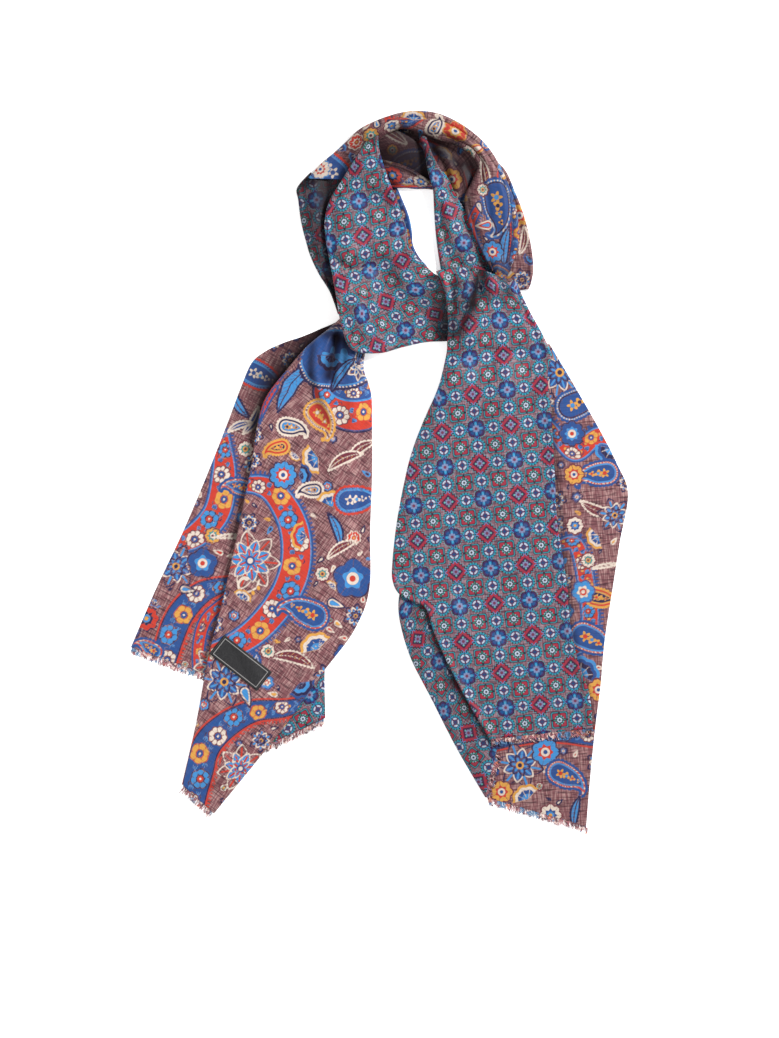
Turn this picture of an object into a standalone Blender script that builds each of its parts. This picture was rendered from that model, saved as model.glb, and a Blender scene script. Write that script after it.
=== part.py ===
"""A double-sided silk scarf with fringed ends, laid flat and looped as if round a neck.

Lengths in the tables are millimetres. X runs across the laid scarf, Y up the picture, Z up from the
surface it lies on. Every stretch of cloth is a wall: a middle surface is worked out section by
section, laid over whatever already lies below it, and then thickened to both sides.
"""

import math

import bpy
import numpy as np
from mathutils import Vector
from mathutils.bvhtree import BVHTree

metresPerMillimetre = 0.001
originX, originY = 4.1, 1.2  # where the middle of the laid scarf's box falls in the tables

wall = 1.2  # both silks of the scarf with their hem, as one wall
clearance = 0.5  # between two stretches that lie on each other
closest = 0.5  # and at the place where it touches what is below
furthestDrop = 2.5  # a sheet is let down no more than this to touch,
dropHeight = 8.0  # and by less below this height, so its folded edges keep their round
foldTurn = 2.9  # from the middle of one layer to the next one at a folded edge
widestTurn = 8.0  # a tall roll is no rounder than this at its side
turnedUnder = math.radians(72.0)  # how far a single folded edge goes on past its side
edgeSlope = 0.4  # how fast a raised edge may fall away towards the middle of the cloth
widestInset = 0.35  # the share of the width that the turn of a folded edge may take
footShare = 0.3  # and the share within which its foot rests on what is below
frontFootInset = 4.0  # where the foot of the left tail's front fold rests, in from its outline
groundCell = 2.0  # the grid on which heights are kept
groundReach = 6.0  # how far round a point the cloth below is felt
groundSoft = 5.0  # and how softly its edges show through

fringeLength = 9.0
fringeStripWidth = 2.4
fringeStripGap = 0.3  # from the cloth's cut end to where the strip's width is measured from
fringeRootGap = 0.4  # from the cut end to the strip itself
fringeEndInset = 0.3  # the strip starts and ends this far inside the hem
strandPitch = 3.7
strandWidth = 1.1
strandLow = 0.5  # a strand ends this high over what is below it
strandSway, strandSwayRhythm = 1.6, 2.4  # how far its tip hangs to a side, and how that varies
strandUneven, strandRhythm = 0.12, 1.7  # the share by which its length varies, and how
tipWidthShare, tipHeightShare = 0.3, 0.5  # of the strand's width at its root

labelLength, labelWidth, labelThickness = 59.4, 23.7, 1.0
labelCentre = (-131.7, -184.6)
labelTurn = math.radians(-38.0)
labelPoints = (9, 5)  # along and across
labelGap = 0.3  # from the cloth it is sewn on
nearestCloth = 1e-3  # keeps the weight of a cloth point right under a label point finite

# What one row of each table holds. A row is one section across the cloth, and the rows
# run along it.
ribbonColumns = ("leftX", "leftY", "rightX", "rightY", "crown", "leftRise", "rightRise", "bow")

# The fringed end first: the sewn edge of the lowest layer, the fold on the right, the fold on
# the left, and the edge of the front layer, which folds under further up.
leftTailColumns = (
    "edgeX", "edgeY", "rightFoldX", "rightFoldY", "leftFoldX", "leftFoldY",
    "frontX", "frontY", "leftRise", "rightRise",
)
leftTailRows = (
    (-239, -169, -49, -239, -189, -304, -158, -332, 0, 0),
    (-215, -113, -49, -176, -175, -243, -122, -288, 0, 0),
    (-189, -58, -40, -115, -163, -178, -86, -243, 0, 0),
    (-166, -4, -31, -54, -149, -123, -53, -196, 0, 0),
    (-145, 49, -27, 4, -137, -69, -21, -153, 0, 0.5),
    (-133, 81, -26, 49, -128, -25, -6, -113, 0.5, 1),
    (-121, 109, -27, 76, -121, 9, -5, -54, 1, 2),
    (-107, 121, -29, 96, -116, 44, -3, 0, 2, 5),
    (-90, 129, -31, 108, -107, 75, -3, 44, 4, 8),
    (-72, 135, -34, 118, -86, 103, -4, 79, 7, 11),
    (-55, 142, -36, 127, -66, 126, -11, 103, 10, 12),
    (-37, 150, -33, 138, -45, 143, -19, 120, 10, 9),
    (-25, 159, -20, 149, -32, 155, -6, 133, 14, 15),
)

# The fringed end first: the sewn edge of the back layer, its fold at the left outline, and the
# hidden fold where the strip beside the pleat turns back. Above the pleat the fold runs inside
# the front layer.
rightBackColumns = ("edgeX", "edgeY", "leftFoldX", "leftFoldY", "hiddenX", "hiddenY", "rise")
rightBackRows = (
    (207, -345, 108, -316, 138, -195, 0),
    (211, -296, 80, -268, 107, -171, 0),
    (216, -247, 55, -219, 82, -150, 0),
    (221, -208, 36, -182, 66, -137, 0),
    (223, -184, 26, -151, 52, -118, 0),
    (226, -156, 23, -126, 45, -108, 0),
    (233, -111, 28, -94, 44, -84, 0),
    (240, -66, 31, -51, 47, -45, 0),
    (248, -19, 38, -12, 54, -5, 0),
    (237, 11, 46, 21, 62, 27, 0),
    (219, 46, 58, 53, 74, 58, 1),
    (192, 93, 72, 85, 88, 90, 2),
    (171, 128, 81, 120, 96, 125, 3),
)

# The front layer of the right tail, fringed end first: the fold of its pleat, which runs out to
# the left outline further up, and its sewn edge.
rightFrontRows = (
    (113, -260, 213, -249, 0, 0, 0, 0),
    (88, -217, 210, -216, 0, 0, 0, 0),
    (70, -182, 199, -184, 0, 0, 0, 0),
    (57, -152, 192, -152, 0, 0, 0, 0),
    (50, -131, 190, -134, 0, 0, 0, 0),
    (37, -124, 189, -126, 0, 0, 0, 0),
    (24, -117, 189, -118, 0, 0, 0, 0),
    (18, -106, 188, -108, 0, 0, 0, 0),
    (17, -90, 185, -88, 1, 0, 0, 0),
    (21, -51, 178, -44, 1, 0, 0, 0),
    (28, -12, 176, 2, 1, 0, 0, 0),
    (36, 21, 174, 35, 1, 1, 0, 0),
    (48, 53, 172, 66, 2, 2, 1, 0),
    (62, 85, 169, 98, 3, 4, 2, 0),
    (71, 120, 166, 129, 3, 6, 3, 0),
)

# The dark strip at the far left of the loop, from the top down.
leftUnderRows = (
    (-63, 296, -15, 300, 3, 0, 0, 0),
    (-76, 281, -22, 279, 4, 0, 0, 0),
    (-75, 269, -24, 264, 4, 0, 0, 0),
    (-72, 247, -26, 244, 4, 0, 0, 0),
    (-67, 227, -24, 225, 4, 0, 0, 0),
    (-63, 214, -22, 208, 3, 0, 0, 0),
    (-55, 197, -19, 191, 3, 0, 0, 0),
    (-44, 179, -15, 173, 2, 0, 0, 0),
    (-36, 157, -11, 153, 1, 0, 0, 0),
)

# The outermost layer on the right of the loop, from the top down.
outerRightRows = (
    (89, 298, 107, 316, 0, 0, 0, 0),
    (103, 287, 126, 300, 0, 0, 0, 0),
    (113, 269, 137, 277, 0, 0, 0, 0),
    (119, 249, 146, 253, 1, 0, 0, 0),
    (122, 227, 152, 228, 2, 0, 0, 0),
    (124, 204, 155, 204, 2, 0, 0, 0),
    (122, 187, 153, 189, 1, 0, 0, 0),
    (121, 177, 150, 181, 0, 0, 0, 0),
)

# The layer that shows as a thin line inside the front band.
frontUnderRows = (
    (-5, 287, 11, 292, 0, 1.3, 0, 0),
    (1, 273, 21, 281, 0, 1.3, 0, 0),
    (7, 260, 27, 268, 0, 1.3, 0, 0),
    (11, 247, 33, 253, 0, 1.3, 0, 0),
    (13, 234, 36, 238, 0, 1.3, 0, 0),
    (17, 220, 37, 225, 0, 1.3, 0, 0),
    (26, 205, 43, 213, 0, 4, 1, 0),
    (38, 194, 51, 204, 0, 9, 4, 0),
)

# The cloth at the bottom of the hollow, from under the back of the neck round to the knot.
innerRows = (
    (22, 316, 13, 339, 0, 0, 3, 0),
    (32, 308, 32, 337, 0, 0, 3, 0),
    (41, 301, 48, 331, 0, 0, 3, 0),
    (51, 295, 64, 325, 0, 0, 3, 0),
    (58, 289, 79, 318, 1, 0, 3, 0),
    (65, 279, 92, 309, 2, 1, 3, 0),
    (70, 269, 96, 294, 3, 2, 3, 0),
    (73, 259, 91, 279, 3, 2, 3, 0),
    (78, 247, 89, 261, 2, 2, 3, 0),
    (84, 234, 94, 243, 1, 2, 2, 0),
    (91, 220, 102, 226, 0, 1, 1, 0),
    (99, 206, 113, 208, 0, 0, 0, 0),
)

# The flap that falls from the back of the neck into the hollow.
flapRows = (
    (1, 337, 13, 342, 0, 8, 8, 0),
    (4, 328, 26, 335, 1, 9, 7, 0),
    (6, 320, 38, 328, 2, 8, 5, 0),
    (8, 312, 46, 320, 2, 6, 3, 0),
    (10, 305, 50, 308, 1, 6, 3, 0),
    (13, 298, 54, 294, 0, 5, 3, 0),
)

# The roll over the hole of the loop, from left to right. Left is its lower side.
innerFoldRows = (
    (11, 283, 1, 310, 2, 0, 0, 0),
    (21, 281, 13, 307, 5, 2, 2, 0),
    (30, 281, 24, 304, 5, 2, 2, 0),
    (40, 280, 36, 299, 5, 2, 2, 0),
    (50, 280, 47, 292, 4, 1, 1, 0),
    (60, 279, 56, 287, 2, 0, 0, 0),
)

# The strip on the right of the hole, from the top down.
rightStripRows = (
    (43, 331, 50, 331, 0, 4, 4, 0),
    (47, 320, 55, 316, 0, 4, 4, 0),
    (50, 308, 62, 303, 0, 4, 4, 0),
    (53, 293, 71, 291, 1, 4, 4, 0),
    (57, 279, 78, 276, 2, 4, 3, 0),
    (58, 262, 87, 261, 3, 4, 2, 0),
    (59, 245, 96, 247, 4, 4, 2, 0),
    (61, 225, 105, 227, 4, 4, 1, 0),
    (64, 205, 114, 208, 1, 4, 0, 0),
    (67, 189, 119, 190, 1, 13, 12, 0),
)

# The roll along the back of the neck and down its right side. Left is its inner side.
archRows = (
    (-32, 299, -65, 291, 3, 0, 1, 0),
    (-25, 307, -52, 305, 4, 1, 1, 0),
    (-18, 315, -40, 315, 5, 1, 2, 0),
    (-11, 321, -27, 327, 5, 2, 2, 0),
    (-3, 330, -14, 339, 5, 3, 3, 0),
    (11, 338, 7, 349, 5, 4, 4, 0),
    (27, 339, 28, 355, 6, 5, 5, 0),
    (44, 335, 48, 356, 7, 6, 6, 0),
    (60, 329, 67, 352, 8, 6, 6, 0),
    (78, 323, 88, 341, 8, 6, 6, 0),
    (93, 315, 107, 325, 8, 6, 5, 0),
    (100, 302, 121, 305, 8, 5, 4, 0),
    (95, 287, 132, 281, 8, 3, 3, 0),
    (88, 271, 139, 256, 8, 1, 3, 0),
    (91, 251, 141, 234, 8, 1, 2, 0),
    (98, 232, 138, 217, 6, 0, 2, 0),
    (107, 214, 132, 200, 4, 0, 2, 0),
    (115, 199, 126, 187, 1, 0, 1, 0),
)

# The wide band that crosses the front, from its tip at the back of the neck to the knot.
frontBandRows = (
    (-8, 327, 3, 332, 0, 0, 0, 0),
    (-18, 311, 4, 318, 2, 1, 2, 0),
    (-32, 289, 10, 298, 4, 2, 2, 0),
    (-44, 269, 16, 282, 5, 3, 3, 0),
    (-49, 250, 22, 267, 6, 4, 4, 0),
    (-48, 230, 27, 252, 6, 4, 4, 0),
    (-43, 202, 31, 239, 5, 3, 5, 0),
    (-38, 176, 33, 226, 4, 2, 5, 0),
    (-33, 147, 37, 218, 3, 2, 5, 0),
    (-23, 123, 43, 211, 3, 2, 6, 0),
    (3, 119, 51, 203, 4, 3, 6, 0),
    (27, 125, 59, 196, 4, 3, 5, 0),
    (50, 130, 68, 193, 2, 1, 3, 0),
    (71, 131, 77, 190, 0, 3, 5, 0),
    (89, 134, 91, 187, 0, 9, 11, 0),
)

# The knot, from its top edge down over the top of the right tail.
knotRows = (
    (60, 199, 136, 191, 3, 1, 0, 8),
    (65, 190, 141, 182, 5, 2, 1, 6),
    (69, 177, 147, 169, 6, 3, 1, 4),
    (71, 161, 154, 155, 5, 3, 1, 0),
    (72, 146, 162, 141, 4, 3, 1, 0),
    (71, 130, 169, 127, 2, 2, 1, 0),
    (70, 117, 173, 117, 0, 0, 0, 0),
)

# The largest creases: how high, how wide to each side, and where they run.
creaseColumns = ("height", "spread", "startX", "startY", "middleX", "middleY", "endX", "endY")
leftTailCreases = (
    (4.5, 7, -53, 135, -57, 98, -42, 45),
    (-5.0, 6, -38, 134, -41, 107, -44, 80),
    (6.0, 12, -22, 124, -16, 88, -22, 30),
)
knotCreases = (
    (-4.5, 6, 103, 199, 97, 172, 77, 130),
    (4.0, 8, 109, 202, 107, 170, 93, 128),
    (-2.5, 5, 110, 203, 122, 187, 128, 172),
)
frontBandCreases = (
    (2.5, 9, -30, 270, -28, 215, -8, 150),
    (-2.0, 8, 8, 262, 10, 205, 40, 165),
)


def table(columns, rows):
    return {name: np.array([row[i] for row in rows], float) for i, name in enumerate(columns)}


def smoothly(values, count):
    """Values at evenly spaced places along the rows, on a curve through all of them."""
    values = np.asarray(values, float)
    last = len(values) - 1
    place = np.linspace(0, last, count)
    start = np.minimum(place.astype(int), last - 1)
    part = place - start
    before, after = values[np.maximum(start - 1, 0)], values[np.minimum(start + 2, last)]
    here, there = values[start], values[start + 1]
    return 0.5 * (
        2 * here
        + (there - before) * part
        + (2 * before - 5 * here + 4 * there - after) * part**2
        + (3 * here - before - 3 * there + after) * part**3
    )


def line(columns, first, second, count):
    return np.stack([smoothly(columns[first], count), smoothly(columns[second], count)], -1)


class Ground:
    """How high the top of everything laid so far stands, on a grid of cells."""

    def __init__(self):
        self.low = np.array([-290.0, -400.0])
        self.top = np.zeros((290, 400))
        self.felt = self.close = self.top
        self.walls = []

    def widened(self, values, cells):
        for axis in (0, 1):
            widest = values
            for shift in range(-cells, cells + 1):
                widest = np.maximum(widest, np.roll(values, shift, axis))
            values = widest
        return values

    def softened(self, values, cells):
        for axis in (0, 1):
            values = sum(np.roll(values, s, axis) for s in range(-cells, cells + 1))
            values = values / (2 * cells + 1)
        return values

    def feel(self, softly=groundSoft):
        soft = round(softly / groundCell)
        reach = round(groundReach / groundCell)
        self.felt = self.softened(self.widened(self.top, reach + soft), soft)
        self.close = self.softened(self.widened(self.top, 2), 1)

    def height(self, points, close=False):
        """The middle height of a wall that lies on what is there, or on the surface."""
        field = self.close if close else self.felt
        place = (points[..., :2] - self.low) / groundCell
        cell = np.floor(place).astype(int)
        part = place - cell
        total = 0.0
        for i in (0, 1):
            for j in (0, 1):
                share = (part[..., 0] if i else 1 - part[..., 0])
                share = share * (part[..., 1] if j else 1 - part[..., 1])
                total = total + share * field[cell[..., 0] + i, cell[..., 1] + j]
        return total + wall / 2 + clearance * np.clip(total, 0, 1)

    def lay(self, grid, steps=8):
        """Adds a sheet, a grid of points on its middle surface."""
        part = np.linspace(0, 1, steps)
        for i in part:
            rows = grid[:-1] * (1 - i) + grid[1:] * i
            for j in part:
                points = rows[:, :-1] * (1 - j) + rows[:, 1:] * j
                cell = np.round((points[..., :2] - self.low) / groundCell).astype(int)
                at = (cell[..., 0].ravel(), cell[..., 1].ravel())
                np.maximum.at(self.top, at, points[..., 2].ravel() + wall / 2)

    def keep(self, grid):
        """Remembers a finished wall, for what is settled on it later."""
        points, faces = wallSkins(grid, wall)
        tests = np.concatenate([points, points[np.array(faces)].mean(1)])
        self.walls.append((BVHTree.FromPolygons(points.tolist(), faces), tests))

    def settled(self, grid):
        """The same sheet, let down until it touches a wall below it."""
        points, faces = wallSkins(grid, wall)
        sheet = BVHTree.FromPolygons(points.tolist(), faces)
        tests = np.concatenate([points, points[np.array(faces)].mean(1)])
        up, down = Vector((0, 0, 1)), Vector((0, 0, -1))
        gaps = []
        for lower, lowerTests in self.walls:
            hits = [lower.ray_cast(Vector(point), down) for point in tests]
            hits += [sheet.ray_cast(Vector(point), up) for point in lowerTests]
            gaps += [hit[3] for hit in hits if hit[0]]
        drop = np.clip(min(gaps, default=closest) - closest, 0, furthestDrop)
        share = np.clip((grid[..., 2] - wall / 2) / dropHeight, 0, 1)
        return withHeight(grid, grid[..., 2] - drop * share)


def creased(points, rows):
    """The height that the creases add at each point: a soft ridge or trough along a curve."""
    added = np.zeros(points.shape[:-1])
    for row in rows:
        crease = dict(zip(creaseColumns, row))
        start, middle, end = (
            np.array([crease[part + "X"], crease[part + "Y"]])
            for part in ("start", "middle", "end")
        )
        nearest = np.full(added.shape, np.inf)
        along = np.zeros(added.shape)
        for step in np.linspace(0, 1, 25):
            control = 2 * middle - (start + end) / 2
            place = (1 - step) ** 2 * start + 2 * step * (1 - step) * control + step**2 * end
            away = np.hypot(points[..., 0] - place[0], points[..., 1] - place[1])
            along = np.where(away < nearest, step, along)
            nearest = np.minimum(nearest, away)
        fade = np.clip(4 * (1 - along), 0, 1)
        added += crease["height"] * fade * np.exp(-((nearest / crease["spread"]) ** 2))
    return added


def between(first, second, parts):
    """Points from one line to another: one row for each pair, one column for each part."""
    return first[:, None] * (1 - parts[None, :, None]) + second[:, None] * parts[None, :, None]


def withHeight(points, heights):
    return np.concatenate([points[..., :2], heights[..., None]], -1)


def turnRadius(drop):
    """How far in from a folded edge its turn starts, for the height that it turns through."""
    return np.clip(drop / 2, foldTurn / 2, widestTurn)


def turn(outline, inward, low, high, steps):
    """The round of a folded edge, from its lower layer to its upper one."""
    radius = turnRadius(high - low)[:, None]
    angle = np.linspace(-math.pi / 2, math.pi / 2, steps)[None, 1:-1]
    inset = radius * (1 - np.cos(angle))
    middle, half = ((low + high) / 2)[:, None], ((high - low) / 2)[:, None]
    points = outline[:, None] + inward[:, None] * inset[..., None]
    return withHeight(points, middle + half * np.sin(angle))


def direction(first, second):
    way = second - first
    length = np.linalg.norm(way, axis=-1, keepdims=True)
    return way / length, length[:, 0]


def eased(values, reach=2):
    """The same line of heights with its steps spread along it, and nowhere lower."""
    count = len(values)
    near = [np.clip(np.arange(count) + shift, 0, count - 1) for shift in range(-reach, reach + 1)]
    highest = np.max([values[i] for i in near], axis=0)
    return np.maximum(np.mean([highest[i] for i in near], axis=0), values)


def squareTo(outline, way):
    """The direction square to an outline, on the side that way points to."""
    run = np.gradient(outline, axis=0)
    run = run / np.linalg.norm(run, axis=-1, keepdims=True)
    square = np.stack([-run[:, 1], run[:, 0]], -1)
    return square * np.sign((square * way).sum(-1, keepdims=True))


def ribbon(ground, rows, stations, across, folded, softly=groundSoft, creases=(), turnSteps=6):
    """One stretch of cloth between two lines, over what is already laid."""
    leftFolded, rightFolded = folded
    columns = table(ribbonColumns, rows)
    left = line(columns, "leftX", "leftY", stations)
    right = line(columns, "rightX", "rightY", stations)
    crown, leftRise, rightRise, bow = (
        np.maximum(smoothly(columns[name], stations), 0)
        for name in ("crown", "leftRise", "rightRise", "bow")
    )
    way, width = direction(left, right)
    leftInward, rightInward = squareTo(left, way), squareTo(right, -way)
    ground.feel(softly)
    reach = np.minimum(turnRadius(foldTurn + leftRise), width * footShare)[:, None]
    leftLow = eased(ground.height(left + way * reach, close=True))
    rightLow = eased(ground.height(right - way * reach, close=True))
    leftHigh, rightHigh = leftLow + foldTurn + leftRise, rightLow + foldTurn + rightRise
    parts = np.linspace(0, 1, across)
    bend = 4 * parts * (1 - parts)
    leftInset = rightInset = np.zeros(stations)
    # A taller edge starts its turn further in, so the heights are worked out twice.
    for _ in range(3):
        start = left + leftInward * leftInset[:, None]
        end = right + rightInward * rightInset[:, None]
        side = np.stack([-way[:, 1], way[:, 0]], -1)[:, None]
        points = between(start, end, parts) + side * (bow[:, None] * bend)[..., None]
        rest = ground.height(points)
        rise = between(leftRise[:, None], rightRise[:, None], parts)[..., 0]
        heights = rest + rise + crown[:, None] * bend
        heights += creased(points, creases) * np.minimum(1, 3 * bend)
        away = parts[None] * width[:, None]
        if leftFolded:
            heights = np.maximum(heights, leftHigh[:, None] - edgeSlope * away)
            leftInset = np.minimum(turnRadius(heights[:, 0] - leftLow), width * widestInset)
        if rightFolded:
            farther = width[:, None] - away
            heights = np.maximum(heights, rightHigh[:, None] - edgeSlope * farther)
            rightInset = np.minimum(turnRadius(heights[:, -1] - rightLow), width * widestInset)
        heights = np.maximum(heights, rest)
    pieces = [withHeight(points, heights)]
    if leftFolded:
        pieces.insert(0, foldedEdge(left, leftInward, leftInset, leftLow, heights[:, 0], turnSteps))
    if rightFolded:
        high = heights[:, -1]
        around = foldedEdge(right, rightInward, rightInset, rightLow, high, turnSteps)
        pieces.append(around[:, ::-1])
    grid = ground.settled(np.concatenate(pieces, 1))
    end = cutEnd(ground, grid[:, turnSteps - 1:] if leftFolded else grid)
    ground.lay(grid)
    ground.keep(grid)
    return grid, end


def foldedEdge(outline, inward, inset, low, high, steps):
    """The round side of a folded edge, from where it meets what is below it up to its top."""
    angle = np.linspace(-turnedUnder, math.pi / 2, steps)[None, :-1]
    middle, half = ((low + high) / 2)[:, None], ((high - low) / 2)[:, None]
    away = inset[:, None] * (1 - np.cos(angle))
    points = outline[:, None] + inward[:, None] * away[..., None]
    return withHeight(points, middle + half * np.sin(angle))


def layer(ground, first, second, across, firstInset, secondInset, rise=0.0, creases=()):
    """One layer of a folded tail: its points, with room left for the turns at its sides."""
    way, _ = direction(first, second)
    parts = np.linspace(0, 1, across)
    start = first + way * np.reshape(firstInset, (-1, 1))
    end = second - way * np.reshape(secondInset, (-1, 1))
    points = between(start, end, parts)
    ground.feel()
    heights = ground.height(points) + rise
    if len(creases):
        heights = heights + creased(points, creases) * np.minimum(1, 8 * parts * (1 - parts))
        heights = np.maximum(heights, ground.height(points))
    return withHeight(points, heights)


def cutEnd(ground, sheet):
    """The fringed end of a layer, the row next to it, and what the layer lies on."""
    return sheet[0], sheet[1], ground.felt.copy()


def turned(lower, upper, outline, otherEnd, steps=6):
    """The turn that joins the last column of one layer to the first of the next."""
    inward, _ = direction(outline, otherEnd)
    return turn(outline, inward, lower[:, -1, 2], upper[:, 0, 2], steps)


def buildLeftTail(ground, stations=25):
    columns = table(leftTailColumns, leftTailRows)
    edge = line(columns, "edgeX", "edgeY", stations)
    rightFold = line(columns, "rightFoldX", "rightFoldY", stations)
    leftFold = line(columns, "leftFoldX", "leftFoldY", stations)
    front = line(columns, "frontX", "frontY", stations)
    leftRise, rightRise = (
        np.maximum(smoothly(columns[name], stations), 0) for name in ("leftRise", "rightRise")
    )
    room = foldTurn / 2
    leftRoom = turnRadius(foldTurn + leftRise)
    puffy = foldTurn - wall - clearance
    bottom = layer(ground, edge, rightFold, 6, 0, room)
    hems = {"back": cutEnd(ground, bottom)}
    ground.lay(bottom)
    middle = layer(ground, rightFold, leftFold, 6, room, leftRoom, puffy)
    hems["middle"] = cutEnd(ground, middle)
    ground.lay(middle)
    share = np.linspace(0, 1, 10)[None]
    rise = puffy + leftRise[:, None] * (1 - share) + rightRise[:, None] * share
    ground.feel()
    inward, _ = direction(front, leftFold)
    low = eased(ground.height(front + inward * frontFootInset, close=True))
    frontInset = turnRadius(ground.height(front) + puffy + rightRise - low)
    top = layer(ground, leftFold, front, 10, leftRoom, frontInset, rise, leftTailCreases)
    away = np.linalg.norm(top[..., :2] - front[:, None], axis=-1)
    shoulder = (low + foldTurn)[:, None] + edgeSlope * (frontInset[:, None] - away)
    top[..., 2] = np.maximum(top[..., 2], shoulder)
    hems["front"] = cutEnd(ground, top)
    border = foldedEdge(front, inward, frontInset, low, top[:, -1, 2], 6)[:, ::-1]
    firstTurn = turned(bottom, middle, rightFold, edge)
    secondTurn = turned(middle, top, leftFold, rightFold)
    grid = np.concatenate([bottom, firstTurn, middle, secondTurn, top, border], 1)
    ground.lay(grid)
    ground.keep(grid)
    return grid, hems, top


def buildRightBack(ground, stations=26):
    columns = table(rightBackColumns, rightBackRows)
    edge = line(columns, "edgeX", "edgeY", stations)
    leftFold = line(columns, "leftFoldX", "leftFoldY", stations)
    hidden = line(columns, "hiddenX", "hiddenY", stations)
    rise = np.maximum(smoothly(columns["rise"], stations), 0)[:, None]
    room = turnRadius(foldTurn + rise[:, 0])
    bottom = layer(ground, edge, leftFold, 8, 0, room)
    hems = {"back": cutEnd(ground, bottom)}
    ground.lay(bottom)
    strip = layer(ground, leftFold, hidden, 5, room, 0, foldTurn - wall - clearance + rise)
    hems["pleat"] = cutEnd(ground, strip)
    grid = np.concatenate([bottom, turned(bottom, strip, leftFold, edge), strip], 1)
    ground.lay(grid)
    ground.keep(grid)
    return grid, hems


def material(name, colour, roughness=0.55):
    made = bpy.data.materials.new(name)
    made.use_nodes = True
    shader = made.node_tree.nodes["Principled BSDF"]
    shader.inputs["Base Color"].default_value = (*colour, 1)
    shader.inputs["Roughness"].default_value = roughness
    made.diffuse_color = (*colour, 1)
    return made


def addObject(name, points, faces, look):
    mesh = bpy.data.meshes.new(name)
    placed = (np.asarray(points) - (originX, originY, 0)) * metresPerMillimetre
    mesh.from_pydata([tuple(point) for point in placed], [], faces)
    mesh.materials.append(look)
    mesh.shade_smooth()
    mesh.set_sharp_from_angle(angle=math.radians(60))
    made = bpy.data.objects.new(name, mesh)
    bpy.context.scene.collection.objects.link(made)
    return made


def normals(grid):
    alongRows = np.gradient(grid, axis=0)
    alongColumns = np.gradient(grid, axis=1)
    normal = np.cross(alongColumns, alongRows)
    return normal / np.maximum(np.linalg.norm(normal, axis=-1, keepdims=True), 1e-9)


def wallSkins(grid, thickness):
    """A closed wall round a middle surface: two skins, joined all round the border."""
    rows, columns = grid.shape[:2]
    offset = normals(grid) * thickness / 2
    points = np.concatenate([(grid + offset).reshape(-1, 3), (grid - offset).reshape(-1, 3)])
    number = np.arange(rows * columns).reshape(rows, columns)
    other = number + rows * columns
    faces = []
    for i in range(rows - 1):
        for j in range(columns - 1):
            # Both skins are split along the same diagonal, so a twisted stretch keeps its wall.
            corners = ((i, j), (i, j + 1), (i + 1, j + 1), (i + 1, j))
            faces.append([int(number[c]) for c in corners])
            faces.append([int(other[c]) for c in corners[:1] + corners[:0:-1]])
    border = [(0, j) for j in range(columns)] + [(i, columns - 1) for i in range(1, rows)]
    border += [(rows - 1, j) for j in range(columns - 2, -1, -1)]
    border += [(i, 0) for i in range(rows - 2, 0, -1)]
    for here, there in zip(border, border[1:] + border[:1]):
        faces.append([int(number[there]), int(number[here]), int(other[here]), int(other[there])])
    return points, faces


def addWall(name, grid, look, thickness=wall):
    return addObject(name, *wallSkins(grid, thickness), look)


def addFringe(name, ground, hem, shown, look):
    """Strands with their roots in a narrow strip, which lies along a cut end of the cloth."""
    endRow, nextRow, ground.felt = hem
    outward, _ = direction(nextRow[:, :2], endRow[:, :2])
    outward = outward.mean(0) / np.linalg.norm(outward.mean(0))
    out = np.array([*outward, 0])
    hemWay = endRow[-1] - endRow[0]
    length = float(np.linalg.norm(hemWay))
    first, last = shown[0] * length + fringeEndInset, shown[1] * length - fringeEndInset
    count = round((last - first) / strandPitch)
    middles = first + (np.arange(count) + 0.5) * (last - first) / count
    edges = np.stack([middles - strandWidth / 2, middles + strandWidth / 2], 1).ravel()
    stops = np.concatenate([[first], edges, [last]]) / length
    known = (endRow - endRow[0]) @ hemWay / length**2
    along = np.stack([np.interp(stops, known, endRow[:, axis]) for axis in (0, 1, 2)], 1)
    lift = np.array([0, 0, wall / 2])
    points, faces = [], []
    for place in along:
        back = place + out * fringeRootGap
        front = place + out * (fringeStripGap + fringeStripWidth)
        points += [back - lift, front - lift, front + lift, back + lift]
    for i in range(len(along) - 1):
        a, b = 4 * i, 4 * (i + 1)
        faces += [[a, b, b + 1, a + 1], [a + 2, b + 2, b + 3, a + 3], [a + 3, b + 3, b, a]]
        ring = [a + 1, b + 1, b + 2, a + 2]
        if i % 2:
            sway = strandSway * math.sin(strandSwayRhythm * i) * np.array([-out[1], out[0], 0])
            uneven = 1 + strandUneven * math.sin(strandRhythm * i)
            reach = fringeLength * uneven - fringeStripWidth
            tip = (points[a + 1] + points[b + 2]) / 2 + out * reach + sway
            below = float(ground.height(tip[None])[0]) - wall / 2 - clearance
            tip[2] = max(below, 0) + strandLow
            wide = (along[i + 1] - along[i]) * tipWidthShare
            thick = np.array([0, 0, strandWidth * tipHeightShare])
            start = len(points)
            points += [tip - wide, tip + wide, tip + wide + thick, tip - wide + thick]
            end = [start, start + 1, start + 2, start + 3]
            for k in range(4):
                m = (k + 1) % 4
                faces.append([ring[k], ring[m], end[m], end[k]])
            ring = end
        faces.append(ring)
    end = 4 * (len(along) - 1)
    faces += [[0, 1, 2, 3], [end + 3, end + 2, end + 1, end]]
    if np.cross(hemWay[:2], outward) > 0:
        faces = [face[::-1] for face in faces]
    return addObject(name, points, faces, look)


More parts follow.
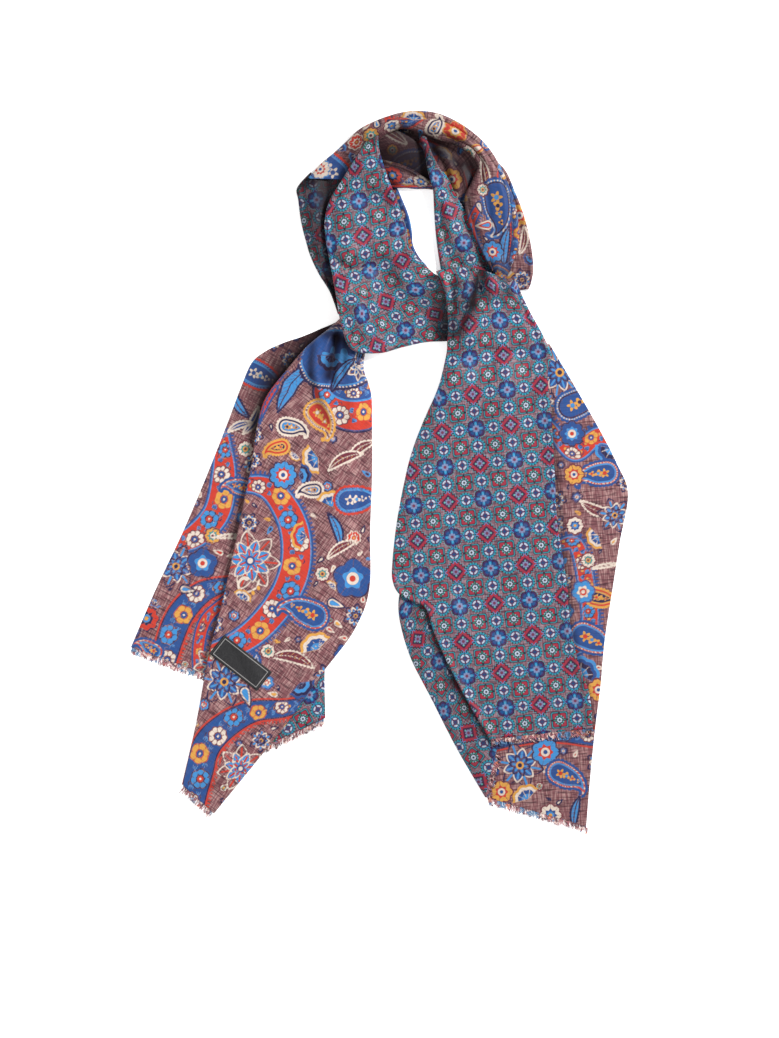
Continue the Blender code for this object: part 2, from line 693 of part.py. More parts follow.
def addLabel(cloth, look):
    """A woven label, made from the points of the layer it is sewn on, moved out."""
    along = np.array([math.cos(labelTurn), math.sin(labelTurn)])
    across = np.array([-along[1], along[0]])
    u = np.linspace(-labelLength / 2, labelLength / 2, labelPoints[0])
    v = np.linspace(labelWidth / 2, -labelWidth / 2, labelPoints[1])
    place = np.array(labelCentre) + u[:, None, None] * along + v[None, :, None] * across
    away = np.linalg.norm(place[:, :, None] - cloth[..., :2].reshape(-1, 2), axis=-1)
    weight = 1 / (away**4 + nearestCloth)
    heights = (weight * cloth[..., 2].ravel()).sum(-1) / weight.sum(-1)
    heights = np.maximum(heights, heights.mean())
    raised = heights + wall / 2 + labelGap + labelThickness / 2
    return addWall("label", withHeight(place, raised), look, labelThickness)


def build():
    for old in list(bpy.data.objects):
        bpy.data.objects.remove(old)
    ground = Ground()
    paisley = (0.22, 0.105, 0.09)
    foulard = (0.24, 0.10, 0.11)
    thread = (0.30, 0.17, 0.17)

    leftTail, leftHems, front = buildLeftTail(ground)
    addWall("left_tail", leftTail, material("paisley_silk_left", paisley))
    rightBack, rightHems = buildRightBack(ground)
    addWall("right_tail_back", rightBack, material("paisley_silk_right", paisley))

    # Stations along, points across, folded at the left and right, and how softly it lies.
    stretches = (
        ("right_tail_front", rightFrontRows, 30, 9, (True, False), 8, (), foulard),
        ("neck_left_under", leftUnderRows, 14, 5, (True, False), 5, (), foulard),
        ("neck_outer_right", outerRightRows, 12, 5, (False, True), 5, (), paisley),
        ("neck_front_under", frontUnderRows, 10, 3, (False, True), 5, (), paisley),
        ("neck_inner", innerRows, 14, 5, (False, False), 5, (), paisley),
        ("neck_flap", flapRows, 8, 6, (False, False), 5, (), paisley),
        ("neck_inner_fold", innerFoldRows, 8, 5, (True, True), 3, (), paisley),
        ("neck_right_strip", rightStripRows, 14, 5, (True, False), 6, (), foulard),
        ("neck_arch", archRows, 30, 7, (False, True), 8, (), paisley),
        ("neck_front_band", frontBandRows, 26, 10, (True, True), 12, frontBandCreases, foulard),
        ("knot", knotRows, 14, 11, (True, True), 12, knotCreases, foulard),
    )
    for name, rows, stations, across, folded, softly, creases, colour in stretches:
        grid, end = ribbon(ground, rows, stations, across, folded, softly, creases)
        addWall(name, grid, material("silk_" + name, colour))
        if name == "right_tail_front":
            rightHems["front"] = end

    # Only the part of each cut end that shows has its fringe.
    ends = (
        ("fringe_left_back", leftHems["back"], (0, 0.44)),
        ("fringe_left_middle", leftHems["middle"], (0, 0.55)),
        ("fringe_left_front", leftHems["front"], (0, 1)),
        ("fringe_right_back", rightHems["back"], (0, 1)),
        ("fringe_right_pleat", rightHems["pleat"], (0, 0.34)),
        ("fringe_right_front", rightHems["front"], (0, 1)),
    )
    for name, hem, shown in ends:
        addFringe(name, ground, hem, shown, material("threads_" + name, thread, 0.7))

    addLabel(front, material("woven_label", (0.012, 0.012, 0.014), 0.6))


build()
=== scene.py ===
# A double-sided silk scarf, looped once and laid flat: the looks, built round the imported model.
# Lengths are millimetres until a mesh is made. X runs across the laid scarf, Y up towards the
# loop, Z off the floor. Side A has the paisley print, side B the small geometric one.

import math
import random

import bpy
import numpy as np
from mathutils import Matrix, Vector


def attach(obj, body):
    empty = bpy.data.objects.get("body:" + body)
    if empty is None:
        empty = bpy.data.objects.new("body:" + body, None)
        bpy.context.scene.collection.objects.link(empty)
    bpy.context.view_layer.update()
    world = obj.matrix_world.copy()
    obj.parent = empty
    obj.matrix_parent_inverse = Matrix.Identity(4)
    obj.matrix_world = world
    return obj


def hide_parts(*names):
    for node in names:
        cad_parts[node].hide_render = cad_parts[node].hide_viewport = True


print("loading the packed model")
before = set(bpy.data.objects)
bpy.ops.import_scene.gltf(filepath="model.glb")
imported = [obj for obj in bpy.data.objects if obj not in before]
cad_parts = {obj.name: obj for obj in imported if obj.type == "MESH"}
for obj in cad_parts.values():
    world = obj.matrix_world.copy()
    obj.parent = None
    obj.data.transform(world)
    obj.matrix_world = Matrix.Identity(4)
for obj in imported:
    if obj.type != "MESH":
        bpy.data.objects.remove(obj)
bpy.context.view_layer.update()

cloth = {
    "wall": 0.7,  # the two silks together
    "clearance": 0.35,  # between layers that lie on each other
    "foldTurn": 2.9,  # from one layer to the next at a folded edge
    "widestTurn": 8.0,
    "turnedUnder": math.radians(72),
    "turnSteps": 10,  # sections round a folded edge
    "edgeSlope": 0.4,  # how fast a folded edge comes down towards the middle
    "easedOver": 14,  # a step in what lies below is spread over this length
    "tailSoftness": 5,
    "cell": 1.5,  # grid of the heights laid so far
    "reach": 3.0,  # how far round a point the cloth below is felt
    "paintedStep": 1.05,  # between points that carry the paisley print
    "plainStep": 2.2,
    "originX": 4.1,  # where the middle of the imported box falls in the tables
    "originY": 1.2,
}
millimetre = 0.001

# What one row of each table holds. A row is one section across the cloth, and leaves out the
# noughts at its end.
ribbonColumns = ("leftX", "leftY", "rightX", "rightY", "crown", "leftRise", "rightRise", "bow")

# The fringed end first: the sewn edge of the lowest layer, the fold on the right, the fold on
# the left, and the edge of the front layer, which folds under further up.
leftTailColumns = (
    "edgeX", "edgeY", "rightFoldX", "rightFoldY", "leftFoldX", "leftFoldY",
    "frontX", "frontY", "leftRise", "rightRise",
)
leftTailRows = (
    (-239, -169, -49, -239, -189, -304, -158, -332),
    (-215, -113, -49, -176, -175, -243, -122, -288),
    (-189, -58, -40, -115, -163, -178, -86, -243),
    (-166, -4, -31, -54, -149, -123, -53, -196),
    (-145, 49, -27, 4, -137, -69, -21, -153, 0, 0.5),
    (-133, 81, -26, 49, -128, -25, -6, -113, 0.5, 1),
    (-121, 109, -27, 76, -121, 9, -5, -54, 1, 2),
    (-107, 121, -29, 96, -116, 44, -3, 0, 2, 5),
    (-90, 129, -31, 108, -107, 75, -3, 44, 4, 8),
    (-72, 135, -34, 118, -86, 103, -4, 79, 7, 11),
    (-55, 142, -36, 127, -66, 126, -11, 103, 10, 12),
    (-37, 150, -33, 138, -45, 143, -10, 118, 10, 9),
    (-25, 159, -20, 149, -32, 155, -6, 133, 14, 15),
)

# The fringed end first: the sewn edge of the back layer, its fold at the left outline, and the
# hidden fold where the strip beside the pleat turns back. Above the pleat the fold runs inside
# the front layer.
rightBackColumns = ("edgeX", "edgeY", "leftFoldX", "leftFoldY", "hiddenX", "hiddenY", "rise")
rightBackRows = (
    (207, -345, 108, -316, 138, -195),
    (211, -296, 80, -268, 107, -171),
    (216, -247, 55, -219, 82, -150),
    (221, -208, 36, -182, 66, -137),
    (223, -184, 26, -151, 52, -118),
    (226, -156, 23, -126, 45, -108),
    (233, -111, 28, -94, 44, -84),
    (240, -66, 31, -51, 47, -45),
    (248, -19, 38, -12, 54, -5),
    (237, 11, 46, 21, 62, 27),
    (219, 46, 58, 53, 74, 58, 1),
    (192, 93, 72, 85, 88, 90, 2),
    (171, 128, 81, 120, 96, 125, 3),
)

# The front layer of the right tail, fringed end first: the fold of its pleat, which runs out to
# the left outline further up, and its sewn edge.
rightFrontRows = (
    (113, -260, 213, -249),
    (88, -217, 210, -216),
    (70, -182, 199, -184),
    (57, -152, 192, -152),
    (50, -131, 190, -134),
    (37, -124, 189, -126),
    (24, -117, 189, -118),
    (18, -106, 188, -108),
    (17, -90, 185, -88, 1),
    (21, -51, 178, -44, 1),
    (28, -12, 176, 2, 1),
    (36, 21, 174, 35, 1, 1),
    (48, 53, 172, 66, 2, 2, 1),
    (62, 85, 169, 98, 3, 4, 2),
    (71, 120, 166, 129, 3, 6, 3),
)

# The strip at the far left of the loop, from the top down. It lies in shade, which is painted onto its
# colour.
leftUnderRows = (
    (-63, 296, -15, 300, 3),
    (-76, 281, -22, 279, 4),
    (-75, 269, -24, 264, 4),
    (-72, 247, -26, 244, 4),
    (-67, 227, -24, 225, 4),
    (-63, 214, -22, 208, 3),
    (-55, 197, -19, 191, 3),
    (-44, 179, -15, 173, 2),
    (-36, 157, -11, 153, 1),
)

# The outermost layer on the right of the loop, from the top down.
outerRightRows = (
    (89, 298, 107, 316),
    (103, 287, 126, 300),
    (113, 269, 137, 277),
    (119, 249, 146, 253, 1),
    (122, 227, 152, 228, 2),
    (124, 204, 155, 204, 2),
    (122, 187, 153, 189, 1),
    (121, 177, 150, 181),
)

# The layer that shows as a thin line inside the front band.
frontUnderRows = (
    (-5, 287, 11, 292, 0, 1.3),
    (1, 273, 21, 281, 0, 1.3),
    (7, 260, 27, 268, 0, 1.3),
    (11, 247, 33, 253, 0, 1.3),
    (13, 234, 36, 238, 0, 1.3),
    (17, 220, 37, 225, 0, 1.3),
    (26, 205, 43, 213, 0, 4, 1),
    (38, 194, 51, 204, 0, 9, 4),
)

# The cloth at the bottom of the hollow, from under the back of the neck round to the knot.
innerRows = (
    (22, 316, 11, 346),
    (32, 308, 32, 350),
    (41, 301, 52, 348),
    (51, 295, 72, 342),
    (58, 289, 90, 333, 1),
    (65, 279, 104, 318, 2, 1),
    (70, 269, 106, 296, 3, 2),
    (73, 259, 103, 279, 3, 2),
    (78, 247, 101, 262, 2, 2),
    (84, 234, 104, 243, 1, 2),
    (91, 220, 102, 226, 0, 1, 1),
    (99, 206, 113, 208),
)

# The flap that falls from the back of the neck into the hollow.
flapRows = (
    (-6, 337, 13, 342, 0, 8, 8),
    (-7, 328, 26, 335, 1, 9, 7),
    (-5, 320, 38, 328, 2, 8, 5),
    (-3, 312, 46, 320, 2, 6, 3),
    (0, 303, 51, 308, 1, 6, 3),
    (4, 291, 57, 287, 0, 4, 2),
)

# The roll over the hole of the loop, from left to right. Left is its lower side.
innerFoldRows = (
    (11, 283, 1, 310, 2),
    (21, 281, 13, 307, 5, 2, 2),
    (30, 281, 24, 304, 5, 2, 2),
    (40, 280, 36, 299, 5, 2, 2),
    (50, 280, 47, 292, 4, 1, 1),
    (60, 279, 56, 287, 2),
)

# The strip on the right of the hole, from the top down.
rightStripRows = (
    (43, 331, 50, 331, 0, 4, 4),
    (47, 320, 55, 316, 0, 4, 4),
    (50, 308, 62, 303, 0, 4, 4),
    (53, 293, 71, 291, 1, 4, 4),
    (57, 279, 78, 276, 2, 4, 3),
    (58, 262, 87, 261, 3, 4, 2),
    (59, 245, 96, 247, 4, 4, 2),
    (61, 225, 105, 227, 4, 4, 1),
    (64, 205, 114, 208, 1, 4),
    (67, 189, 119, 190, 1, 13, 12),
)

# The roll along the back of the neck and down its right side. Left is its inner side.
archRows = (
    (-20, 288, -65, 291),
    (-12, 298, -52, 305, 1),
    (-6, 307, -40, 315, 2, 1),
    (-2, 314, -27, 327, 3, 2, 1),
    (2, 325, -14, 339, 4, 3, 2),
    (12, 334, 7, 349, 5, 4, 4),
    (27, 339, 28, 355, 6, 5, 5),
    (44, 335, 48, 356, 7, 6, 6),
    (60, 329, 67, 352, 8, 6, 6),
    (78, 323, 88, 341, 8, 6, 6),
    (93, 315, 107, 325, 8, 6, 5),
    (100, 302, 121, 305, 8, 5, 4),
    (95, 287, 132, 281, 8, 3, 3),
    (88, 271, 139, 256, 8, 1, 3),
    (91, 251, 141, 234, 8, 1, 2),
    (98, 232, 138, 217, 6, 0, 2),
    (107, 214, 132, 200, 4, 0, 2),
    (115, 199, 126, 187, 1, 0, 1),
)

# The wide band that crosses the front, from its tip at the back of the neck to the knot.
frontBandRows = (
    (-8, 327, 3, 332),
    (-18, 311, 4, 318, 2, 1, 2),
    (-32, 289, 10, 298, 4, 2, 2),
    (-44, 269, 16, 282, 5, 3, 3),
    (-49, 250, 22, 267, 6, 4, 4),
    (-48, 230, 27, 252, 6, 4, 4),
    (-43, 202, 31, 239, 5, 3, 5),
    (-38, 176, 33, 226, 4, 2, 5),
    (-33, 147, 37, 218, 3, 2, 5),
    (-23, 123, 43, 211, 3, 2, 6),
    (3, 119, 51, 203, 4, 3, 6),
    (27, 125, 59, 196, 4, 3, 5),
    (50, 130, 68, 193, 2, 1, 3),
    (71, 131, 77, 190, 0, 3, 5),
    (89, 134, 91, 187, 0, 9, 11),
)

# The knot, from its top edge down over the top of the right tail.
knotRows = (
    (60, 199, 136, 191, 3, 1, 0, 8),
    (65, 190, 141, 182, 5, 2, 1, 6),
    (69, 177, 147, 169, 6, 3, 1, 4),
    (71, 161, 154, 155, 5, 3, 1),
    (72, 146, 162, 141, 4, 3, 1),
    (71, 130, 169, 127, 2, 2, 1),
    (70, 117, 173, 117),
)

# The creases: how high, how wide to each side, and where they run.
creaseColumns = ("height", "spread", "startX", "startY", "middleX", "middleY", "endX", "endY")
leftTailCreases = (
    (5.0, 6, -53, 138, -58, 98, -40, 40),
    (-6.0, 5, -38, 136, -41, 107, -46, 78),
    (6.0, 11, -22, 126, -14, 88, -20, 30),
    (-3.0, 4, -28, 134, -31, 110, -36, 92),
    (2.5, 4, -46, 138, -49, 118, -55, 98),
    (-2.2, 4, -13, 120, -11, 100, -16, 76),
    (1.6, 9, -110, 40, -95, -30, -110, -110),
    (-1.3, 8, -80, 40, -62, -40, -70, -120),
    (1.4, 10, -40, 20, -38, -50, -58, -130),
    (1.5, 9, -150, -140, -120, -190, -110, -235),
    (-1.2, 7, -110, -120, -90, -160, -92, -210),
    (1.6, 8, -175, -235, -155, -270, -158, -310),
)
rightTailCreases = (
    (2.6, 8, 82, 118, 62, 60, 50, -20),
    (-2.2, 7, 104, 122, 96, 70, 84, 10),
    (2.4, 10, 126, 122, 128, 60, 120, -40),
    (-1.6, 8, 146, 118, 152, 60, 152, -20),
    (1.5, 11, 60, -60, 70, -120, 96, -190),
    (-1.4, 9, 100, -50, 108, -130, 128, -210),
    (1.6, 12, 150, -60, 154, -140, 170, -220),
    (3.2, 6, 20, -122, 42, -132, 60, -160),
    (-2.2, 6, 34, -104, 62, -120, 80, -158),
)
knotCreases = (
    (-9.0, 5, 103, 202, 99, 172, 78, 132),
    (6.5, 7, 115, 206, 112, 172, 96, 128),
    (-3.5, 4, 118, 205, 128, 187, 131, 168),
    (3.5, 5, 88, 204, 84, 176, 72, 150),
    (-2.6, 4, 92, 202, 89, 182, 80, 158),
    (2.6, 6, 134, 192, 142, 166, 148, 132),
)
frontBandCreases = (
    (2.5, 9, -30, 270, -28, 215, -8, 150),
    (-2.0, 8, 8, 262, 10, 205, 40, 165),
    (5.0, 8, -50, 222, -8, 217, 30, 236),
    (-4.5, 7, -46, 203, -6, 200, 36, 220),
    (2.8, 9, -38, 176, 0, 172, 40, 190),
    (-3.0, 7, 66, 178, 40, 160, 8, 142),
    (3.0, 7, 70, 188, 50, 180, 20, 176),
    (2.2, 6, 66, 142, 45, 138, 15, 132),
)
leftUnderCreases = (
    (2.5, 7, -62, 286, -60, 240, -46, 190),
    (-3.0, 6, -46, 290, -44, 240, -32, 184),
)
stripCreases = (
    (2.5, 6, 52, 320, 66, 270, 78, 215),
    (-2.0, 5, 60, 300, 82, 256, 100, 214),
)
archCreases = (
    (2.5, 4, -20, 306, -2, 330, 30, 347),
    (-2.6, 4, 0, 338, 40, 347, 90, 320),
    (-3.0, 4, 96, 300, 110, 270, 110, 222),
    (2.8, 5, 118, 300, 128, 265, 124, 215),
    (-2.4, 4, 86, 324, 106, 306, 116, 284),
    (-2.2, 4, 132, 282, 138, 250, 130, 214),
    (2.0, 4, 60, 338, 80, 330, 98, 312),
)
innerCreases = (
    (3.0, 5, 62, 318, 76, 296, 82, 262),
    (-2.5, 5, 50, 318, 66, 298, 74, 268),
    (2.0, 4, 84, 300, 90, 280, 88, 256),
)
# the print: kind, x, y, size, turn, colours, then what sets this one apart
motifs = {
    "leftFront": (
        ("leaf", -81, 90, 32.9, 62, "sky", {"bend": 0.3, "width": 0.24}),
        ("leaf", -105, 75, 29.3, 70, "red", {"bend": 0.2, "width": 0.16}),
        ("boteh", -28, 113, 61.0, 80, "bulge", {"mirror": -1, "teeth": 40}),
        ("lotus", -16, 106, 14.6, 30, "lace", {"petals": 7}),
        ("fan", -48, 120, 20.7, 250, "navy"),
        ("leaf", -33, 98, 20.7, 55, "sky", {"bend": 0.4}),
        ("leaf", -12, 120, 14.6, 70, "sky"),
        ("leaf", -13, 22, 18.3, 35, "lace", {"bend": 0.5}),
        ("boteh", -54, 55, 23.2, 35, "gold", {"mirror": -1, "teeth": 30}),
        ("boteh", -81, 46, 17.1, 78, "white", {"mirror": -1}),
        ("boteh", -98, 26, 14.6, 105, "goldRed"),
        ("fan", -56, 17, 17.1, 200, "goldBlue"),
        ("leaf", -29, 12, 19.5, 25, "lace", {"bend": 0.5}),
        ("flower", -91, 0, 14.6, 0, "blueRed", {"petals": 9}),
        ("fan", -76, -1, 13.4, 5, "navy"),
        ("boteh", -65, -15, 14.6, 95, "white"),
        ("fan", -44, -32, 17.1, 80, "goldBlue"),
        ("leaf", -41, -54, 18.3, 110, "sky", {"bend": -0.4}),
        ("boteh", -16, -25, 26.8, 90, "blueOnRed", {"mirror": -1}),
        ("fan", -68, -60, 15.9, 175, "blueGold"),
        ("flower", -21, -62, 7.9, 20, "red", {"petals": 8}),
        ("leaf", -33, -74, 17.1, 30, "lace", {"bend": 0.4}),
        ("flower", -52, -97, 8.5, 0, "rosette", {"petals": 8}),
        ("flower", -22, -102, 20.7, 15, "royal", {"petals": 5}),
        ("drop", -38, -127, 11.0, 250, "sky"),
        ("boteh", -71, -134, 28.1, 70, "redOnBlue"),
        ("lotus", -123, -84, 30.5, 20, "creamRed", {"petals": 7}),
        ("curl", -128, -108, 14.6, 200, "cream"),
        ("fan", -132, -123, 11.0, 60, "goldBlue"),
        ("fan", -56, -172, 18.3, 120, "goldBlue"),
        ("leaf", -81, -184, 22.0, 165, "lace", {"bend": -0.5}),
        ("flower", -105, -173, 8.5, 0, "rosette", {"petals": 8}),
        ("fan", -74, -204, 15.9, 300, "navy"),
        ("lotus", -148, -203, 25.6, 80, "skyNavy", {"petals": 6}),
        ("drop", -126, -218, 12.2, 200, "sky"),
        ("drop", -36, -147, 6.1, 230, "gold"),
        ("drop", -101, -215, 6.1, 80, "gold"),
        ("lotus", -132, -288, 24.4, 60, "creamRed", {"petals": 7}),
        ("flower", -126, -310, 9.8, 0, "gold", {"petals": 7}),
        ("lotus", -74, -265, 22.0, 10, "creamRed", {"petals": 6}),
        ("flower", -29, -177, 12.2, 0, "royal", {"petals": 6}),
        ("drop", -55, -221, 9.8, 10, "sky"),
    ),
    "leftBack": (
        ("boteh", -111, 95, 26.8, 60, "blueOnRed", {"mirror": -1}),
        ("leaf", -132, 71, 18.3, 120, "sky", {"bend": 0.4}),
        ("leaf", -122, 53, 15.9, 60, "white", {"bend": -0.4}),
        ("leaf", -132, 46, 13.4, 20, "white", {"bend": 0.4}),
        ("flower", -127, 25, 9.2, 0, "rosette", {"petals": 8}),
        ("boteh", -135, -12, 18.3, 80, "redOnBlue"),
        ("flower", -159, -60, 9.2, 0, "goldLace", {"petals": 8}),
        ("leaf", -142, -62, 15.9, 0, "lace", {"bend": 0.2, "width": 0.14}),
        ("lotus", -195, -90, 23.2, 95, "skyNavy", {"petals": 6}),
        ("flower", -169, -87, 15.9, 15, "royal", {"petals": 5}),
        ("drop", -183, -113, 9.8, 260, "sky"),
        ("drop", -154, -76, 6.1, 70, "cream"),
        ("boteh", -222, -170, 17.1, 60, "redOnBlue"),
        ("flower", -224, -141, 13.4, 0, "redNavy", {"petals": 8}),
        ("lotus", -158, -187, 20.7, 60, "creamRed", {"petals": 7}),
        ("drop", -156, 27, 4.9, 100, "sky"),
        ("flower", -111, -25, 11.0, 0, "royal", {"petals": 6}),
    ),
    "rightBack": (
        ("lotus", 181, 100, 26.8, 30, "skyNavy", {"petals": 7}),
        ("boteh", 203, 71, 29.3, 110, "blueRing", {"mirror": -1}),
        ("flower", 193, 40, 13.4, 0, "royal", {"petals": 8}),
        ("fan", 232, 26, 17.1, 240, "royal"),
        ("boteh", 217, 0, 24.4, 100, "redOnBlue"),
        ("flower", 195, 0, 11.0, 0, "gold", {"petals": 7}),
        ("leaf", 219, -32, 19.5, 160, "lace", {"bend": 0.4}),
        ("lotus", 235, -40, 18.3, 80, "skyNavy", {"petals": 6}),
        ("flower", 196, -50, 9.8, 0, "cream", {"petals": 8}),
        ("fan", 220, -60, 13.4, 210, "goldBlue"),
        ("flower", 209, -84, 8.5, 0, "rosette", {"petals": 8}),
        ("leaf", 226, -90, 14.6, 10, "lace", {"bend": 0.1, "width": 0.14}),
        ("boteh", 223, -122, 18.3, 75, "goldRed", {"mirror": -1}),
        ("flower", 204, -115, 12.2, 10, "sky", {"petals": 6}),
        ("boteh", 215, -162, 28.1, 250, "redOnBlue"),
        ("fan", 201, -197, 19.5, 45, "royal"),
        ("flower", 219, -211, 12.2, 0, "gold", {"petals": 7}),
        ("drop", 205, -227, 9.8, 250, "sky"),
        ("lotus", 142, -285, 24.4, 80, "skyNavy", {"petals": 6}),
        ("flower", 167, -272, 14.6, 0, "blueRed", {"petals": 7}),
        ("boteh", 189, -297, 24.4, 60, "redOnBlue", {"mirror": -1}),
        ("flower", 124, -311, 12.2, 0, "gold", {"petals": 7}),
        ("fan", 150, -319, 15.9, 120, "goldBlue"),
        ("flower", 172, -334, 12.2, 0, "cream", {"petals": 8}),
        ("leaf", 198, -331, 15.9, 80, "sky", {"bend": 0.3}),
    ),
    "arch": (
        ("boteh", -49, 303, 30.5, 48, "blueOnRed"),
        ("flower", -54, 300, 11.0, 0, "whiteRed", {"petals": 9}),
        ("fan", -38, 318, 9.8, 70, "royal"),
        ("flower", -66, 287, 8.5, 0, "sky", {"petals": 7}),
        ("flower", -20, 327, 9.2, 0, "red", {"petals": 8}),
        ("leaf", -32, 337, 14.6, 40, "lace", {"bend": 0.4}),
        ("flower", -4, 332, 9.8, 0, "goldLace", {"petals": 7}),
        ("drop", 0, 347, 8.5, 20, "sky"),
        ("flower", 17, 341, 9.8, 0, "cream", {"petals": 7}),
        ("fan", 37, 347, 14.6, 80, "goldBlue"),
        ("boteh", 60, 343, 14.6, 330, "white"),
        ("flower", 79, 337, 13.4, 0, "goldRed", {"petals": 8}),
        ("leaf", 94, 346, 14.6, 320, "lace", {"bend": 0.4}),
        ("drop", 103, 321, 11.0, 300, "goldRed"),
        ("boteh", 117, 328, 12.2, 290, "redOnBlue"),
        ("flower", 89, 313, 8.5, 0, "rosette", {"petals": 8}),
        ("fan", 123, 302, 15.9, 350, "goldBlue"),
        ("leaf", 105, 293, 18.3, 280, "lace", {"bend": 0.3}),
        ("boteh", 120, 261, 31.7, 5, "blueRing", {"mirror": -1}),
        ("flower", 105, 279, 7.3, 0, "rosette", {"petals": 8}),
        ("drop", 101, 261, 7.3, 200, "sky"),
        ("fan", 141, 273, 12.2, 300, "royal"),
        ("drop", 106, 244, 9.8, 95, "redDrop"),
        ("leaf", 130, 224, 20.7, 262, "sky", {"bend": -0.3}),
        ("fan", 139, 212, 14.6, 280, "royal"),
        ("flower", 115, 218, 12.2, 0, "blueRed", {"petals": 8}),
        ("boteh", 127, 195, 18.3, 250, "redOnBlue"),
        ("drop", 142, 191, 9.8, 250, "sky"),
    ),
    "inner": (
        ("flower", 49, 308, 13.4, 0, "redNavy", {"petals": 8}),
        ("flower", 75, 289, 12.2, 0, "gold", {"petals": 7}),
        ("boteh", 75, 265, 17.1, 280, "blueRing"),
        ("drop", 74, 273, 8.5, 95, "redDrop"),
        ("boteh", 53, 320, 13.4, 60, "blueOnRed"),
        ("flower", 95, 232, 8.5, 0, "rosette", {"petals": 7}),
        ("fan", 64, 310, 12.2, 60, "goldBlue"),
        ("leaf", 24, 318, 15.9, 20, "lace"),
        ("flower", 10, 328, 9.8, 0, "royal", {"petals": 6}),
    ),
    "outer": (
        ("boteh", 115, 274, 13.4, 270, "redOnBlue"),
        ("flower", 142, 254, 12.2, 0, "gold", {"petals": 7}),
        ("leaf", 144, 230, 14.6, 260, "lace"),
        ("flower", 140, 279, 11.0, 0, "royal", {"petals": 6}),
        ("fan", 127, 205, 13.4, 250, "goldBlue"),
    ),
    "innerFold": (
        ("flower", 17, 293, 11.0, 0, "redNavy", {"petals": 8}),
        ("fan", 32, 291, 11.0, 300, "goldBlue"),
        ("flower", 45, 287, 9.2, 0, "cream", {"petals": 7}),
        ("drop", 55, 289, 7.3, 20, "red"),
    ),
    "flap": (
        ("leaf", 17, 332, 17.1, 330, "lace", {"bend": 0.2}),
        ("flower", 17, 318, 7.3, 0, "goldLace", {"petals": 8}),
        ("boteh", 36, 308, 23.2, 300, "blueRing"),
        ("fan", 13, 306, 12.2, 300, "royal"),
    ),
}
# the long bands: where each runs, how wide to each side, and its colours
bands = {
    "leftFront": (
        (((-150, -17), (-121, -9), (-98, -19), (-80, -52), (-79, -92), (-96, -129), (-121, -156),
          (-150, -172), (-175, -177)),
         (5.6, 10.1, 13.4, 15.7, 16.2, 15.7, 14.6, 12.3, 9.0), "redBand"),
        (((-56, -221), (-87, -229), (-119, -232), (-145, -245), (-166, -266), (-174, -294), (-181, -331)),
         (6.7, 10.1, 12.3, 14.6, 15.7, 15.7, 13.4), "blueBand"),
        (((-56, 89), (-49, 73), (-33, 61), (-13, 58), (9, 65)),
         (10.1, 14.6, 16.8, 16.8, 14.6), "redBandDark"),
        (((-52, 100), (-36, 85), (-15, 82), (11, 87)),
         (7.8, 10.1, 10.1, 9.0), "blueEdge"),
        (((-74, 120), (-56, 126), (-44, 116)),
         (5.6, 6.7, 4.5), "redThin"),
    ),
    "leftBack": (
        (((-150, 36), (-148, -1), (-155, -37), (-176, -60), (-199, -69)),
         (9.0, 13.4, 14.6, 13.4, 10.1), "redBand"),
        (((-140, -106), (-168, -115), (-189, -135), (-201, -162), (-211, -201)),
         (7.8, 12.3, 14.6, 14.6, 12.3), "blueBand"),
        (((-146, -123), (-166, -143), (-173, -172), (-172, -211)),
         (5.6, 6.7, 6.7, 5.6), "redThin"),
    ),
    "rightBack": (
        (((170, 49), (195, 22), (220, 38), (252, 28)),
         (6.7, 10.1, 10.1, 9.0), "redBand"),
        (((181, -69), (199, -72), (211, -135), (205, -162), (187, -177)),
         (6.7, 9.0, 10.1, 9.0, 6.7), "redBand"),
        (((103, -268), (134, -258), (170, -252), (213, -258)),
         (7.8, 10.1, 11.2, 10.1), "blueBand"),
    ),
    "arch": (
        (((13, 349), (29, 343), (44, 350)),
         (4.5, 6.7, 4.5), "blueBand"),
        (((125, 293), (138, 265), (143, 234), (136, 200), (125, 179)),
         (5.6, 7.8, 9.0, 10.1, 9.0), "blueBand"),
        (((101, 264), (93, 245), (99, 220)),
         (4.5, 5.6, 4.5), "redThin"),
    ),
    "inner": (
        (((11, 287), (20, 273), (26, 257), (30, 238), (34, 222), (43, 206), (53, 195)),
         (7.8, 7.8, 7.8, 7.8, 7.8, 7.8, 7.8), "blueEdge"),
        (((91, 296), (97, 273), (89, 247), (79, 224)),
         (4.5, 6.7, 7.8, 5.6), "blueBand"),
    ),
    "innerFold": (
        (((5, 283), (24, 281), (44, 282), (62, 285)),
         (3.9, 4.5, 4.5, 3.9), "redThin"),
    ),
}


def table(columns, rows):
    full = [tuple(row) + (0,) * (len(columns) - len(row)) for row in rows]
    return {name: np.array([row[i] for row in full], float) for i, name in enumerate(columns)}


def smoothly(values, count, place=None):
    # a Catmull-Rom curve through all the rows, read at evenly spaced places or at those given
    values = np.asarray(values, float)
    last = len(values) - 1
    if place is None:
        place = np.linspace(0, last, count)
    start = np.minimum(place.astype(int), last - 1)
    part = (place - start).reshape((-1,) + (1,) * (values.ndim - 1))
    before, after = values[np.maximum(start - 1, 0)], values[np.minimum(start + 2, last)]
    here, there = values[start], values[start + 1]
    return 0.5 * (
        2 * here
        + (there - before) * part
        + (2 * before - 5 * here + 4 * there - after) * part**2
        + (3 * here - before - 3 * there + after) * part**3
    )


def line(columns, first, second, count):
    return np.stack([smoothly(columns[first], count), smoothly(columns[second], count)], -1)


def lengthsAlong(points):
    steps = np.linalg.norm(np.diff(points, axis=0), axis=-1)
    return np.concatenate([[0], np.cumsum(steps)])


